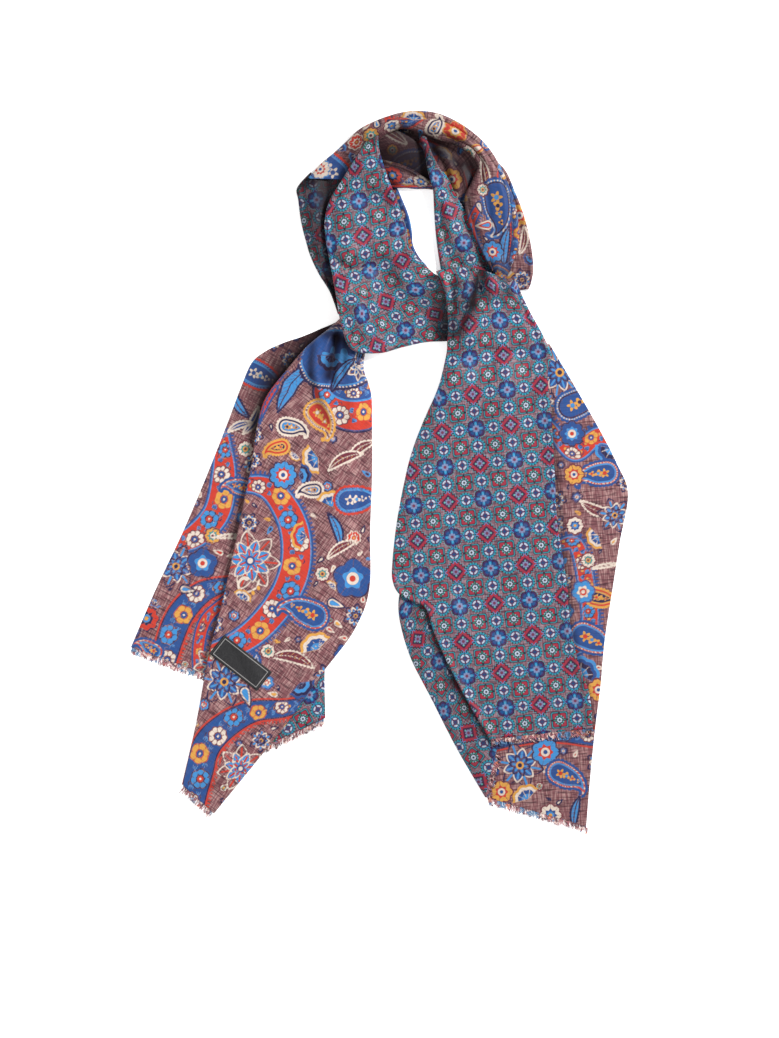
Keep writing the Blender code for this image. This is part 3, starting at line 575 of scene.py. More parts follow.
class Ground:
    # how high everything laid so far stands, on a grid of cells
    def __init__(self):
        self.low = np.array([-290.0, -400.0])
        self.top = np.zeros((int(580 / cloth["cell"]), int(800 / cloth["cell"])))
        self.felt = self.close = self.top
        self.before = {}

    def widened(self, values, cells):
        for axis in (0, 1):
            widest = values
            for shift in range(-cells, cells + 1):
                widest = np.maximum(widest, np.roll(values, shift, axis))
            values = widest
        return values

    def softened(self, values, cells):
        for axis in (0, 1):
            values = sum(np.roll(values, s, axis) for s in range(-cells, cells + 1))
            values = values / (2 * cells + 1)
        return values

    def feel(self, softly):
        soft = max(round(softly / cloth["cell"]), 1)
        reach = round(cloth["reach"] / cloth["cell"])
        self.felt = self.softened(self.widened(self.top, reach + soft), soft)
        self.close = self.softened(self.widened(self.top, 2), 1)

    def height(self, points, close=False):
        # the middle height of a wall that lies on what is there, or on the floor
        field = self.close if close else self.felt
        place = (points[..., :2] - self.low) / cloth["cell"]
        cell = np.floor(place).astype(int)
        part = place - cell
        total = 0.0
        for i in (0, 1):
            for j in (0, 1):
                share = (part[..., 0] if i else 1 - part[..., 0])
                share = share * (part[..., 1] if j else 1 - part[..., 1])
                total = total + share * field[cell[..., 0] + i, cell[..., 1] + j]
        return total + cloth["wall"] / 2 + cloth["clearance"] * np.clip(total, 0, 1)

    def lay(self, grid, steps=3):
        for i in np.linspace(0, 1, steps):
            rows = grid[:-1] * (1 - i) + grid[1:] * i
            for j in np.linspace(0, 1, steps):
                points = rows[:, :-1] * (1 - j) + rows[:, 1:] * j
                cell = np.round((points[..., :2] - self.low) / cloth["cell"]).astype(int)
                at = (cell[..., 0].ravel(), cell[..., 1].ravel())
                np.maximum.at(self.top, at, points[..., 2].ravel() + cloth["wall"] / 2)


def creased(points, rows):
    # the height that the creases add: each is a soft ridge or trough along a curve
    added = np.zeros(points.shape[:-1])
    for row in rows:
        crease = dict(zip(creaseColumns, row))
        start, middle, end = (
            np.array([crease[part + "X"], crease[part + "Y"]])
            for part in ("start", "middle", "end")
        )
        control = 2 * middle - (start + end) / 2
        nearest = np.full(added.shape, np.inf)
        along = np.zeros(added.shape)
        reach = 4 * crease["spread"] + np.linalg.norm(end - start)
        if np.min(np.hypot(points[..., 0] - middle[0], points[..., 1] - middle[1])) > reach:
            continue
        for step in np.linspace(0, 1, 41):
            place = (1 - step) ** 2 * start + 2 * step * (1 - step) * control + step**2 * end
            away = np.hypot(points[..., 0] - place[0], points[..., 1] - place[1])
            along = np.where(away < nearest, step, along)
            nearest = np.minimum(nearest, away)
        fade = np.clip(4 * (1 - along), 0, 1)
        added += crease["height"] * fade * np.exp(-((nearest / crease["spread"]) ** 2))
    return added


def between(first, second, parts):
    return first[:, None] * (1 - parts[None, :, None]) + second[:, None] * parts[None, :, None]


def withHeight(points, heights):
    return np.concatenate([points[..., :2], heights[..., None]], -1)


def turnRadius(drop):
    return np.clip(drop / 2, cloth["foldTurn"] / 2, cloth["widestTurn"])


def roundedFold(outline, inward, low, high, steps):
    # the round of a folded edge, from its lower layer to its upper one
    radius = turnRadius(high - low)[:, None]
    angle = np.linspace(-math.pi / 2, math.pi / 2, steps)[None, 1:-1]
    inset = radius * (1 - np.cos(angle))
    middle, half = ((low + high) / 2)[:, None], ((high - low) / 2)[:, None]
    points = outline[:, None] + inward[:, None] * inset[..., None]
    return withHeight(points, middle + half * np.sin(angle))


def foldedEdge(outline, inward, inset, low, high, steps):
    # the round side of a single edge, from where it meets what is below it up to its top
    angle = np.linspace(-cloth["turnedUnder"], math.pi / 2, steps)[None, :-1]
    middle, half = ((low + high) / 2)[:, None], ((high - low) / 2)[:, None]
    away = inset[:, None] * (1 - np.cos(angle))
    points = outline[:, None] + inward[:, None] * away[..., None]
    return withHeight(points, middle + half * np.sin(angle))


def direction(first, second):
    way = second - first
    length = np.linalg.norm(way, axis=-1, keepdims=True)
    return way / length, length[:, 0]


def eased(values, reach):
    # the same line of heights with its steps spread along it, and nowhere lower
    count = len(values)
    near = [np.clip(np.arange(count) + shift, 0, count - 1) for shift in range(-reach, reach + 1)]
    highest = np.max([values[i] for i in near], axis=0)
    return np.maximum(np.mean([highest[i] for i in near], axis=0), values)


def squareTo(outline, way):
    run = np.gradient(outline, axis=0)
    run = run / np.linalg.norm(run, axis=-1, keepdims=True)
    square = np.stack([-run[:, 1], run[:, 0]], -1)
    return square * np.sign((square * way).sum(-1, keepdims=True))


def unrolled(grid, anchor, way):
    # where each point falls when its row is laid out straight from one of its columns
    steps = np.linalg.norm(np.diff(grid, axis=1), axis=-1)
    across = np.concatenate([np.zeros((len(grid), 1)), np.cumsum(steps, 1)], 1)
    across = across - across[:, anchor : anchor + 1]
    return grid[:, anchor, None, :2] + across[..., None] * way[:, None]


def alongStrip(grid):
    # the same for a stretch that runs in a curve: across it, and along its middle
    steps = np.linalg.norm(np.diff(grid, axis=1), axis=-1)
    across = np.concatenate([np.zeros((len(grid), 1)), np.cumsum(steps, 1)], 1)
    across = across - across[:, -1:] / 2
    along = lengthsAlong(grid[:, grid.shape[1] // 2])
    return np.stack([across, np.broadcast_to(along[:, None], across.shape)], -1)


def stretch(grid, way, anchor):
    # a laid stretch, its rows in the order that turns the first skin up
    middle = grid.shape[0] // 2, grid.shape[1] // 2
    across = grid[middle[0], middle[1] + 1] - grid[middle]
    along = grid[middle[0] + 1, middle[1]] - grid[middle]
    if across[0] * along[1] - across[1] * along[0] < 0:
        grid, way = grid[::-1], way[::-1]
    return {"grid": grid, "places": unrolled(grid, anchor, way), "strip": alongStrip(grid)}


def ribbon(ground, rows, folded, softly, step, creases=()):
    # one stretch of cloth between two lines, over what is already laid
    leftFolded, rightFolded = folded
    columns = table(ribbonColumns, rows)
    count = 500
    rough = [line(columns, side + "X", side + "Y", count) for side in ("left", "right")]
    lengths = [lengthsAlong(points) for points in rough]
    stations = round(max(lengths[0][-1], lengths[1][-1]) / step)
    across = max(round(np.max(np.linalg.norm(rough[0] - rough[1], axis=-1)) / step), 8)
    # the rows of a table are unevenly spaced, and the sections made from them aren't
    middle = (lengths[0] + lengths[1]) / 2
    place = np.interp(
        np.linspace(0, middle[-1], stations), middle, np.linspace(0, len(rows) - 1, count)
    )
    leftX, leftY, rightX, rightY, crown, leftRise, rightRise, bow = (
        smoothly(columns[name], stations, place) for name in ribbonColumns
    )
    left, right = np.stack([leftX, leftY], -1), np.stack([rightX, rightY], -1)
    crown, leftRise, rightRise = (np.maximum(v, 0) for v in (crown, leftRise, rightRise))
    foldTurn, slope, turnSteps = cloth["foldTurn"], cloth["edgeSlope"], cloth["turnSteps"]
    way, width = direction(left, right)
    leftInward, rightInward = squareTo(left, way), squareTo(right, -way)
    ground.feel(softly)
    spread = round(cloth["easedOver"] / step)
    reach = np.minimum(turnRadius(foldTurn + leftRise), width * 0.3)[:, None]
    leftLow = eased(ground.height(left + way * reach, close=True), spread)
    rightLow = eased(ground.height(right - way * reach, close=True), spread)
    leftHigh, rightHigh = leftLow + foldTurn + leftRise, rightLow + foldTurn + rightRise
    parts = np.linspace(0, 1, across)
    bend = 4 * parts * (1 - parts)
    leftInset = rightInset = np.zeros(stations)
    side = np.stack([-way[:, 1], way[:, 0]], -1)[:, None]
    for _ in range(3):
        start = left + leftInward * leftInset[:, None]
        end = right + rightInward * rightInset[:, None]
        points = between(start, end, parts) + side * (bow[:, None] * bend)[..., None]
        rest = ground.height(points)
        rise = between(leftRise[:, None], rightRise[:, None], parts)[..., 0]
        heights = rest + rise + crown[:, None] * bend
        heights += creased(points, creases) * np.minimum(1, 3 * bend)
        away = parts[None] * width[:, None]
        if leftFolded:
            heights = np.maximum(heights, leftHigh[:, None] - slope * away)
            leftInset = np.minimum(turnRadius(heights[:, 0] - leftLow), width * 0.35)
        if rightFolded:
            away = width[:, None] - away
            heights = np.maximum(heights, rightHigh[:, None] - slope * away)
            rightInset = np.minimum(turnRadius(heights[:, -1] - rightLow), width * 0.35)
        heights = np.maximum(heights, rest)
    pieces = [withHeight(points, heights)]
    if leftFolded:
        edge = foldedEdge(left, leftInward, leftInset, leftLow, heights[:, 0], turnSteps)
        pieces.insert(0, edge)
    if rightFolded:
        edge = foldedEdge(right, rightInward, rightInset, rightLow, heights[:, -1], turnSteps)
        pieces.append(edge[:, ::-1])
    grid = np.concatenate(pieces, 1)
    ground.lay(grid)
    return stretch(grid, way, grid.shape[1] // 2)


def layer(ground, name, first, second, parts, firstInset, secondInset, rise=0.0, creases=()):
    # one layer of a folded tail, with room left for the turns at its sides
    way, _ = direction(first, second)
    start = first + way * np.reshape(firstInset, (-1, 1))
    end = second - way * np.reshape(secondInset, (-1, 1))
    points = between(start, end, parts)
    ground.feel(cloth["tailSoftness"])
    ground.before[name] = ground.felt
    heights = ground.height(points) + rise
    if len(creases):
        heights = heights + creased(points, creases) * np.minimum(1, 8 * parts * (1 - parts))
        heights = np.maximum(heights, ground.height(points))
    return withHeight(points, heights)


def layLeftTail(ground):
    # three layers one over the other: the lowest and the top one show side A, the middle side B
    columns = table(leftTailColumns, leftTailRows)
    step = cloth["paintedStep"]
    stations = round(lengthsAlong(line(columns, "edgeX", "edgeY", 60))[-1] / step)
    edge = line(columns, "edgeX", "edgeY", stations)
    rightFold = line(columns, "rightFoldX", "rightFoldY", stations)
    leftFold = line(columns, "leftFoldX", "leftFoldY", stations)
    front = line(columns, "frontX", "frontY", stations)
    leftRise, rightRise = (
        np.maximum(smoothly(columns[name], stations), 0) for name in ("leftRise", "rightRise")
    )
    foldTurn = cloth["foldTurn"]
    room, leftRoom = foldTurn / 2, turnRadius(foldTurn + leftRise)
    puffy = foldTurn - cloth["wall"] - cloth["clearance"]
    # the lowest layer is only painted as far as it shows
    shown = np.linspace(0, 0.5, 90)
    parts = np.concatenate([shown, np.linspace(0.5, 1, 8)[1:]])
    bottom = layer(ground, "bottom", edge, rightFold, parts, 0, room)
    ground.lay(bottom)
    middle = layer(
        ground, "middle", rightFold, leftFold, np.linspace(0, 1, 26), room, leftRoom, puffy
    )
    ground.lay(middle)
    width = np.linalg.norm(front - leftFold, axis=-1).max()
    share = np.linspace(0, 1, round(width / step))
    rise = puffy + leftRise[:, None] * (1 - share) + rightRise[:, None] * share
    ground.feel(cloth["tailSoftness"])
    inward, _ = direction(front, leftFold)
    low = ground.height(front + inward * 4, close=True)
    low = eased(low, round(cloth["easedOver"] / step))
    frontInset = turnRadius(ground.height(front) + puffy + rightRise - low)
    top = layer(
        ground, "top", leftFold, front, share, leftRoom, frontInset, rise, leftTailCreases
    )
    away = np.linalg.norm(top[..., :2] - front[:, None], axis=-1)
    least = (low + foldTurn)[:, None] + cloth["edgeSlope"] * (frontInset[:, None] - away)
    top[..., 2] = np.maximum(top[..., 2], least)
    turnSteps = cloth["turnSteps"]
    border = foldedEdge(front, inward, frontInset, low, top[:, -1, 2], turnSteps)[:, ::-1]
    backWay, _ = direction(rightFold, edge)
    foldWay, _ = direction(leftFold, rightFold)
    firstTurn = roundedFold(rightFold, backWay, bottom[:, -1, 2], middle[:, 0, 2], turnSteps)
    secondTurn = roundedFold(leftFold, foldWay, middle[:, -1, 2], top[:, 0, 2], turnSteps)
    lower = np.concatenate([bottom, firstTurn, middle], 1)
    upper = np.concatenate([middle[:, -1:], secondTurn, top, border], 1)
    ground.lay(lower)
    ground.lay(upper)
    hems = {
        "back": (bottom[:2], ground.before["bottom"]),
        "middle": (middle[:2], ground.before["middle"]),
        "front": (top[:2], ground.before["top"]),
    }
    outer = upper.shape[1] - border.shape[1] - 1
    lowerWay, _ = direction(edge, rightFold)
    upperWay, _ = direction(leftFold, front)
    return stretch(lower, lowerWay, 0), stretch(upper, upperWay, outer), hems


def layRightBack(ground):
    # the lowest layer of the right tail, side A up, and the strip beside the pleat, side B up
    columns = table(rightBackColumns, rightBackRows)
    step = cloth["paintedStep"]
    stations = round(lengthsAlong(line(columns, "edgeX", "edgeY", 60))[-1] / step)
    edge = line(columns, "edgeX", "edgeY", stations)
    leftFold = line(columns, "leftFoldX", "leftFoldY", stations)
    hidden = line(columns, "hiddenX", "hiddenY", stations)
    rise = np.maximum(smoothly(columns["rise"], stations), 0)[:, None]
    room = turnRadius(cloth["foldTurn"] + rise[:, 0])
    width = np.linalg.norm(edge - leftFold, axis=-1)
    parts = np.linspace(0, 1, round(width.max() * 0.75 / step))
    bottom = layer(ground, "backBottom", edge, leftFold, parts, 0, room)
    ground.lay(bottom)
    puffy = cloth["foldTurn"] - cloth["wall"] - cloth["clearance"] + rise
    strip = layer(ground, "strip", leftFold, hidden, np.linspace(0, 1, 22), room, 0, puffy)
    way, _ = direction(leftFold, edge)
    around = roundedFold(leftFold, way, bottom[:, -1, 2], strip[:, 0, 2], cloth["turnSteps"])
    grid = np.concatenate([bottom, around, strip], 1)
    ground.lay(grid)
    hems = {
        "back": (bottom[:2], ground.before["backBottom"]),
        "pleat": (strip[:2], ground.before["strip"]),
    }
    # the table runs from the sewn edge on the right to the left, so its columns are turned round
    grid = grid[:, ::-1]
    return stretch(grid, way, grid.shape[1] - 1), hems


inkColours = {
    "red": "#c83c2c",
    "royal": "#1b4f8e",
    "light": "#3a8fce",
    "navy": "#17234a",
    "gold": "#dca04a",
    "cream": "#e2d3c4",
    "teal": "#3b9c98",
    "maroon": "#6e2f3c",
}
unprinted = -9.0  # far outside any ink


class Print:
    # ink on cloth: for each ink, how far a point is inside what is printed in it, in millimetres
    def __init__(self, places):
        self.places = places.reshape(-1, 2)
        self.order = np.argsort(self.places[:, 0], kind="stable")
        self.sorted = self.places[self.order, 0]
        self.inks = {name: np.full(len(self.places), unprinted) for name in inkColours}

    def near(self, x, y, reach):
        # the points that one motif can touch
        first, last = np.searchsorted(self.sorted, (x - reach, x + reach))
        picked = self.order[first:last]
        return picked[np.abs(self.places[picked, 1] - y) < reach]

    def paint(self, picked, ink, away):
        # away is the distance outside the shape; what was printed there before gives way
        for name, values in self.inks.items():
            if name == ink:
                values[picked] = np.maximum(values[picked], -away)
            else:
                values[picked] = np.minimum(values[picked], away)

    def clear(self, picked, away):
        for values in self.inks.values():
            values[picked] = np.minimum(values[picked], away)


def turnedPlaces(places, motif):
    angle = math.radians(motif["turn"])
    along = np.array([math.cos(angle), math.sin(angle)])
    moved = places - (motif["x"], motif["y"])
    u = moved @ along
    v = moved @ np.array([-along[1], along[0]])
    size = motif["size"]
    return u / size, v * motif.get("mirror", 1) / size


def taperedSpine(u, v, spine, widths):
    # distance outside a row of circles that flow into each other
    nearest = np.full(u.shape, np.inf)
    circles = (smoothly(values, 60) for values in (*zip(*spine), widths))
    for x, y, wide in zip(*circles):
        nearest = np.minimum(nearest, np.hypot(u - x, v - y) - max(wide, 0.01))
    return nearest


def rim(away, wave, depth):
    # the same edge with scallops along it
    return away - depth * np.abs(np.sin(wave))


# Every painter has the points it may touch, and where they are in the motif's own sizes. What it
# paints is a distance in millimetres outside each shape. Shares of a size are its drawing.
def paintBoteh(silk, picked, u, v, motif):
    # a bent drop with its tip curled over: outlines one inside the other, then a filling
    size, inks = motif["size"], motif["inks"]
    spine = ((0, -0.42), (0.02, -0.05), (0.06, 0.32), (-0.02, 0.66), (-0.22, 0.84), (-0.42, 0.78))
    away = taperedSpine(u, v, spine, (0.52, 0.5, 0.36, 0.2, 0.11, 0.05)) * size
    around = np.arctan2(v + 0.3, u) * motif.get("teeth", 22)
    border, scallop = 1.5, 1.2
    inside = away + border * 3.2
    edges = rim(away, around / 2, scallop), away + border, away + border * 2.2, inside
    for ink, edge in zip(inks, edges):
        silk.paint(picked, ink, edge)
    # a chain of dots between the outlines
    if len(inks) > 5:
        chain = np.hypot((away + border * 1.6) / 0.9, np.sin(around * 0.8) * 1.3) - 0.9
        silk.paint(picked, inks[5], chain)
    # the filling is a small flower with leaves that climb towards the tip
    filling = inside + 0.6
    for step in range(4):
        x, y = u - 0.03 * step, v - (-0.34 + 0.26 * step)
        far, reach = np.hypot(x, y) * size, size * (0.2 - 0.035 * step)
        petals = 3 if step else 5
        petal = far - reach * (0.72 + 0.28 * np.cos(petals * np.arctan2(y, x) + step))
        silk.paint(picked, inks[4], np.maximum(petal, filling))
        silk.paint(picked, inks[1 + step % 2], np.maximum(far - reach * 0.4, filling))


def paintFlower(silk, picked, u, v, motif):
    # lobed petals with seams between them, round a small rosette
    size, inks, petals = motif["size"], motif["inks"], motif.get("petals", 8)
    far, angle = np.hypot(u, v) * size, np.arctan2(v, u)
    edge = far - size * (0.82 + 0.18 * np.abs(np.cos(petals * angle / 2)))
    silk.paint(picked, inks[0], edge)
    silk.paint(picked, inks[1], edge + 1.3)
    seam = np.abs(np.sin(petals * angle / 2)) * far * 0.45 - 0.35
    silk.paint(picked, inks[0], np.maximum(np.maximum(edge + 1.3, size * 0.5 - far), seam))
    silk.paint(picked, inks[2], far - size * (0.46 + 0.07 * np.cos(petals * angle)))
    silk.paint(picked, inks[3], far - size * 0.3)
    silk.paint(picked, inks[4], far - size * 0.15)


def paintFan(silk, picked, u, v, motif):
    # half a flower, open on one side, with ribs
    size, inks, lobes = motif["size"], motif["inks"], 4.5
    far, angle = np.hypot(u, v) * size, np.arctan2(v, u)
    half = np.clip((np.abs(angle) - 1.25) * far, -9, 9)
    lobe = 0.9 + 0.1 * np.abs(np.cos(angle * lobes))
    for inner, ink in zip((1.0, 0.84, 0.66, 0.42), inks):
        silk.paint(picked, ink, np.maximum(far - size * lobe * inner, half + (1 - inner) * 2))
    ribs = np.abs(np.sin(angle * lobes)) * far * 0.28 - 0.4
    ring = np.maximum(far - size * 0.62, size * 0.2 - far)
    silk.paint(picked, inks[4], np.maximum(np.maximum(ring, ribs), half))


def paintLeaf(silk, picked, u, v, motif):
    # a long leaf with a serrated side, a rib and veins
    size, inks = motif["size"], motif["inks"]
    v = v - motif.get("bend", 0.35) * (1 - u * u) * 0.5
    width = motif.get("width", 0.26) * np.clip(1 - u * u, 0, 1) ** 0.8
    away = (np.abs(v) - width) * size
    away = np.where(np.abs(u) > 1, (np.abs(u) - 1) * size + 0.5, away)
    silk.paint(picked, inks[0], rim(away, u * size * 0.9, 1.1))
    silk.paint(picked, inks[1], away + 1.2)
    veins = np.abs(np.sin((u * 0.9 + np.abs(v)) * size * 0.75)) * 1.6 - 0.45
    silk.paint(picked, inks[2], np.maximum(away + 2.0, veins))
    silk.paint(picked, inks[0], np.maximum(away + 1.2, np.abs(v) * size - 0.5))


def paintCurl(silk, picked, u, v, motif):
    # a stem that rolls up at its end, with buds along it
    size, (stem, bud) = motif["size"], motif["inks"]
    places = np.linspace(0, 1, 9)
    spine = []
    for place in places:
        rolled = (place - 0.5) * 9.4
        x = -1 + 1.1 * place if place < 0.5 else 0.1 + 0.36 * math.sin(rolled)
        y = 0.5 * math.sin(3.1 * place) - (0.36 * (1 - math.cos(rolled)) if place > 0.5 else 0)
        spine.append((x, y))
    wide = 0.7 / size
    widths = np.interp(places, (0, 0.7, 1), (wide, wide * 1.3, wide * 2.4))
    silk.paint(picked, stem, taperedSpine(u, v, spine, widths) * size - 0.2)
    for place in (0.2, 0.42, 0.64):
        x, y = (float(np.interp(place, places, axis)) for axis in zip(*spine))
        silk.paint(picked, bud, np.hypot(u - x, (v - (y + 0.2)) * 0.7) * size - 1.7)


def paintDrop(silk, picked, u, v, motif):
    spine = ((0, -0.45), (0, 0.1), (0, 0.85))
    away = taperedSpine(u, v, spine, (0.48, 0.36, 0.06)) * motif["size"]
    for step, ink in enumerate(motif["inks"]):
        silk.paint(picked, ink, away + 1.4 * step)


def paintLotus(silk, picked, u, v, motif):
    # pointed petals drawn as outlines, one ring of them inside the other
    size, inks, petals = motif["size"], motif["inks"], motif.get("petals", 7)
    far, angle = np.hypot(u, v) * size, np.arctan2(v, u)
    for ring, (reach, shift) in enumerate(((1.0, 0), (0.72, 0.5), (0.46, 0))):
        phase = np.abs(((angle / (2 * math.pi) * petals + shift) % 1) - 0.5) * 2
        away = (far - size * reach * (0.52 + 0.48 * (1 - phase) ** 0.7)) * 0.8
        silk.paint(picked, inks[2 if ring == 1 else 0], away)
        if ring == 0:
            silk.clear(picked, away + 1.5)
        else:
            silk.paint(picked, inks[3], away + 1.5)
        silk.paint(picked, inks[1], np.maximum(away + 2.6, np.abs(phase) * far * 0.5 - 1.0))
    silk.paint(picked, inks[4], far - size * 0.16)
    silk.paint(picked, inks[0], far - size * 0.09)


# how each kind of motif is painted, and how far it reaches in its own sizes
painters = {
    "boteh": (paintBoteh, 1.75),
    "flower": (paintFlower, 1.5),
    "fan": (paintFan, 1.5),
    "leaf": (paintLeaf, 1.4),
    "curl": (paintCurl, 1.6),
    "drop": (paintDrop, 1.4),
    "lotus": (paintLotus, 1.5),
}


def paintMotif(silk, motif):
    painter, reach = painters[motif["kind"]]
    picked = silk.near(motif["x"], motif["y"], reach * motif["size"])
    if len(picked):
        u, v = turnedPlaces(silk.places[picked], motif)
        painter(silk, picked, u, v, motif)


def paintBand(silk, band):
    # a long curved band: outlines, a comb of teeth on its inner side, and flowers within
    count, toothPitch, flowerPitch = 140, 3.4, 24
    points = np.array([smoothly(axis, count) for axis in zip(*band["path"])]).T
    widths = smoothly(band["widths"], count)
    lengths = lengthsAlong(points)
    way = np.gradient(points, axis=0)
    way = way / np.linalg.norm(way, axis=-1, keepdims=True)
    low, high = points.min(0) - widths.max() - 6, points.max(0) + widths.max() + 6
    picked = np.nonzero(np.all((silk.places > low) & (silk.places < high), 1))[0]
    if not len(picked):
        return
    nearest = np.full(len(picked), np.inf)
    across, along, half = np.zeros((3, len(picked)))
    for point, (wayX, wayY), length, wide in zip(points, way, lengths, widths):
        gapX, gapY = (silk.places[picked] - point).T
        far = np.hypot(gapX, gapY)
        closer = far < nearest
        nearest = np.where(closer, far, nearest)
        across = np.where(closer, wayX * gapY - wayY * gapX, across)
        along = np.where(closer, length + (wayX * gapX + wayY * gapY), along)
        half = np.where(closer, wide, half)
    away = nearest - half
    main, edging, ring = band["inks"][:3]
    teeth = np.abs(((along / toothPitch) % 1) - 0.5) * toothPitch - 0.75
    comb = np.maximum(np.maximum(away - 3.2, -away - 1), np.maximum(teeth, -across))
    silk.paint(picked, edging, comb)
    silk.paint(picked, edging, away)
    silk.paint(picked, ring, away + 1.7)
    silk.paint(picked, main, away + 2.9)
    # flowers of three kinds one after the other inside it, on a thin vine with leaves
    phase = (along / flowerPitch) % 1 - 0.5
    number = np.floor(along / flowerPitch)
    wave = 0.2 * half * np.where(number % 2 == 0, 1, -1)
    x, y = phase * flowerPitch, across - wave
    far, angle = np.hypot(x, y), np.arctan2(y, x)
    within = away + 3.9
    size = np.minimum(half * 0.68, 9.6)
    vine = np.abs(across - 0.5 * half * np.sin(along / flowerPitch * 2 * math.pi)) - 0.5
    silk.paint(picked, "navy", np.maximum(np.maximum(vine, size + 0.6 - far), within))
    leafX, leafY = x - flowerPitch * 0.46 * np.sign(x), y + 2.4 * wave
    bud = np.hypot(leafX * 0.8, leafY * (1.2 + 0.1 * leafX)) - 2.9
    silk.paint(picked, "light", np.maximum(bud, within))
    silk.paint(picked, "royal", np.maximum(np.maximum(bud + 0.9, 0.3 - np.abs(leafY)), within))
    spray = np.hypot(leafX + 3.6 * np.sign(x), leafY - 4.4 * np.sign(wave)) - 1.5
    silk.paint(picked, "gold", np.maximum(spray, within))
    for kind, (outline, petal, eye, petals) in enumerate(bandBlossoms):
        other = np.maximum(within, np.where(number % len(bandBlossoms) == kind, -9.0, 9.0))
        seam = 0.5 - np.abs((angle / (2 * math.pi) * petals + 0.3 * number) % 1 - 0.5)
        edge = size * (0.82 + 0.26 * np.sqrt(seam))
        gap = np.maximum(seam * far * 2 * math.pi / petals - 0.32, size * 0.42 - far)
        for ink, shape in (
            (outline, far - edge - 0.7), (petal, far - edge + 0.3),
            (outline, np.maximum(gap, far - edge)), (outline, far - size * 0.44),
            (eye, far - size * 0.34), ("cream", far - size * 0.13),
        ):
            silk.paint(picked, ink, np.maximum(shape, other))


# what the flowers in the bands have for their edge, petals and middle, and how many petals
bandBlossoms = (
    ("navy", "light", "red", 7), ("maroon", "cream", "royal", 9), ("red", "gold", "royal", 6),
)

# the inks of each kind of motif, from its edge inwards
colourways = {
    "boteh": {
        "bulge": ("navy", "royal", "light", "royal", "light", "cream"),
        "redOnBlue": ("royal", "red", "light", "royal", "gold", "cream"),
        "blueOnRed": ("red", "royal", "light", "royal", "cream", "light"),
        "gold": ("gold", "cream", "gold", "red", "gold", "maroon"),
        "goldRed": ("gold", "red", "gold", "navy", "gold"),
        "white": ("cream", "navy", "cream", "light", "gold"),
        "blueRing": ("royal", "light", "navy", "royal", "gold", "cream"),
    },
    "flower": {
        "royal": ("navy", "royal", "light", "cream", "red"),
        "blueRed": ("navy", "light", "red", "cream", "royal"),
        "sky": ("royal", "light", "cream", "red", "cream"),
        "whiteRed": ("light", "cream", "red", "cream", "royal"),
        "cream": ("maroon", "cream", "royal", "light", "gold"),
        "gold": ("maroon", "gold", "red", "cream", "royal"),
        "goldRed": ("gold", "red", "gold", "cream", "royal"),
        "goldLace": ("maroon", "gold", "teal", "cream", "maroon"),
        "red": ("cream", "red", "cream", "red", "gold"),
        "redNavy": ("navy", "red", "navy", "light", "gold"),
        "rosette": ("maroon", "cream", "teal", "gold", "maroon"),
    },
    "fan": {
        "goldBlue": ("gold", "cream", "royal", "light", "cream"),
        "blueGold": ("gold", "red", "light", "royal", "cream"),
        "navy": ("royal", "navy", "light", "navy", "light"),
        "royal": ("light", "royal", "navy", "light", "cream"),
    },
    "leaf": {
        "sky": ("navy", "light", "royal"),
        "lace": ("cream", "maroon", "gold"),
        "white": ("cream", "royal", "light"),
        "red": ("royal", "red", "royal"),
    },
    "curl": {"cream": ("cream", "gold")},
    "drop": {
        "sky": ("navy", "cream", "light"),
        "gold": ("cream", "gold"),
        "goldRed": ("gold", "red", "cream"),
        "cream": ("cream", "red"),
        "navy": ("light", "navy", "royal"),
        "red": ("cream", "red", "navy"),
        "redDrop": ("cream", "red", "light"),
    },
    "lotus": {
        "creamRed": ("cream", "red", "cream", "light", "royal"),
        "skyNavy": ("navy", "light", "cream", "royal", "gold"),
        "lace": ("cream", "royal", "cream", "light", "cream"),
    },
    "band": {
        "redBand": ("red", "royal", "light"),
        "redBandDark": ("red", "navy", "royal"),
        "blueBand": ("royal", "red", "navy"),
        "redThin": ("red", "royal", "red"),
        "blueEdge": ("royal", "light", "royal"),
    },
}


# what is scattered between the placed motifs, the larger ones first: kind, colours, size
smallMotifs = (
    ("lotus", ("skyNavy",), 13.0),
    ("boteh", ("redOnBlue", "blueRing", "white"), 11.0),
    ("fan", ("royal", "navy", "goldBlue"), 9.0),
    ("flower", ("royal", "sky", "blueRed", "rosette"), 7.5),
    ("leaf", ("sky", "lace", "sky"), 9.0),
    ("drop", ("sky", "gold", "cream", "navy"), 4.8),
    ("flower", ("rosette", "royal", "red"), 4.6),
    ("drop", ("goldRed", "sky", "sky"), 3.8),
)
scatter = {
    "spread": 9.5,
    "tries": 14,  # for each square of the spread
    "small": 4,  # the place in the list from which they go on to the end
}


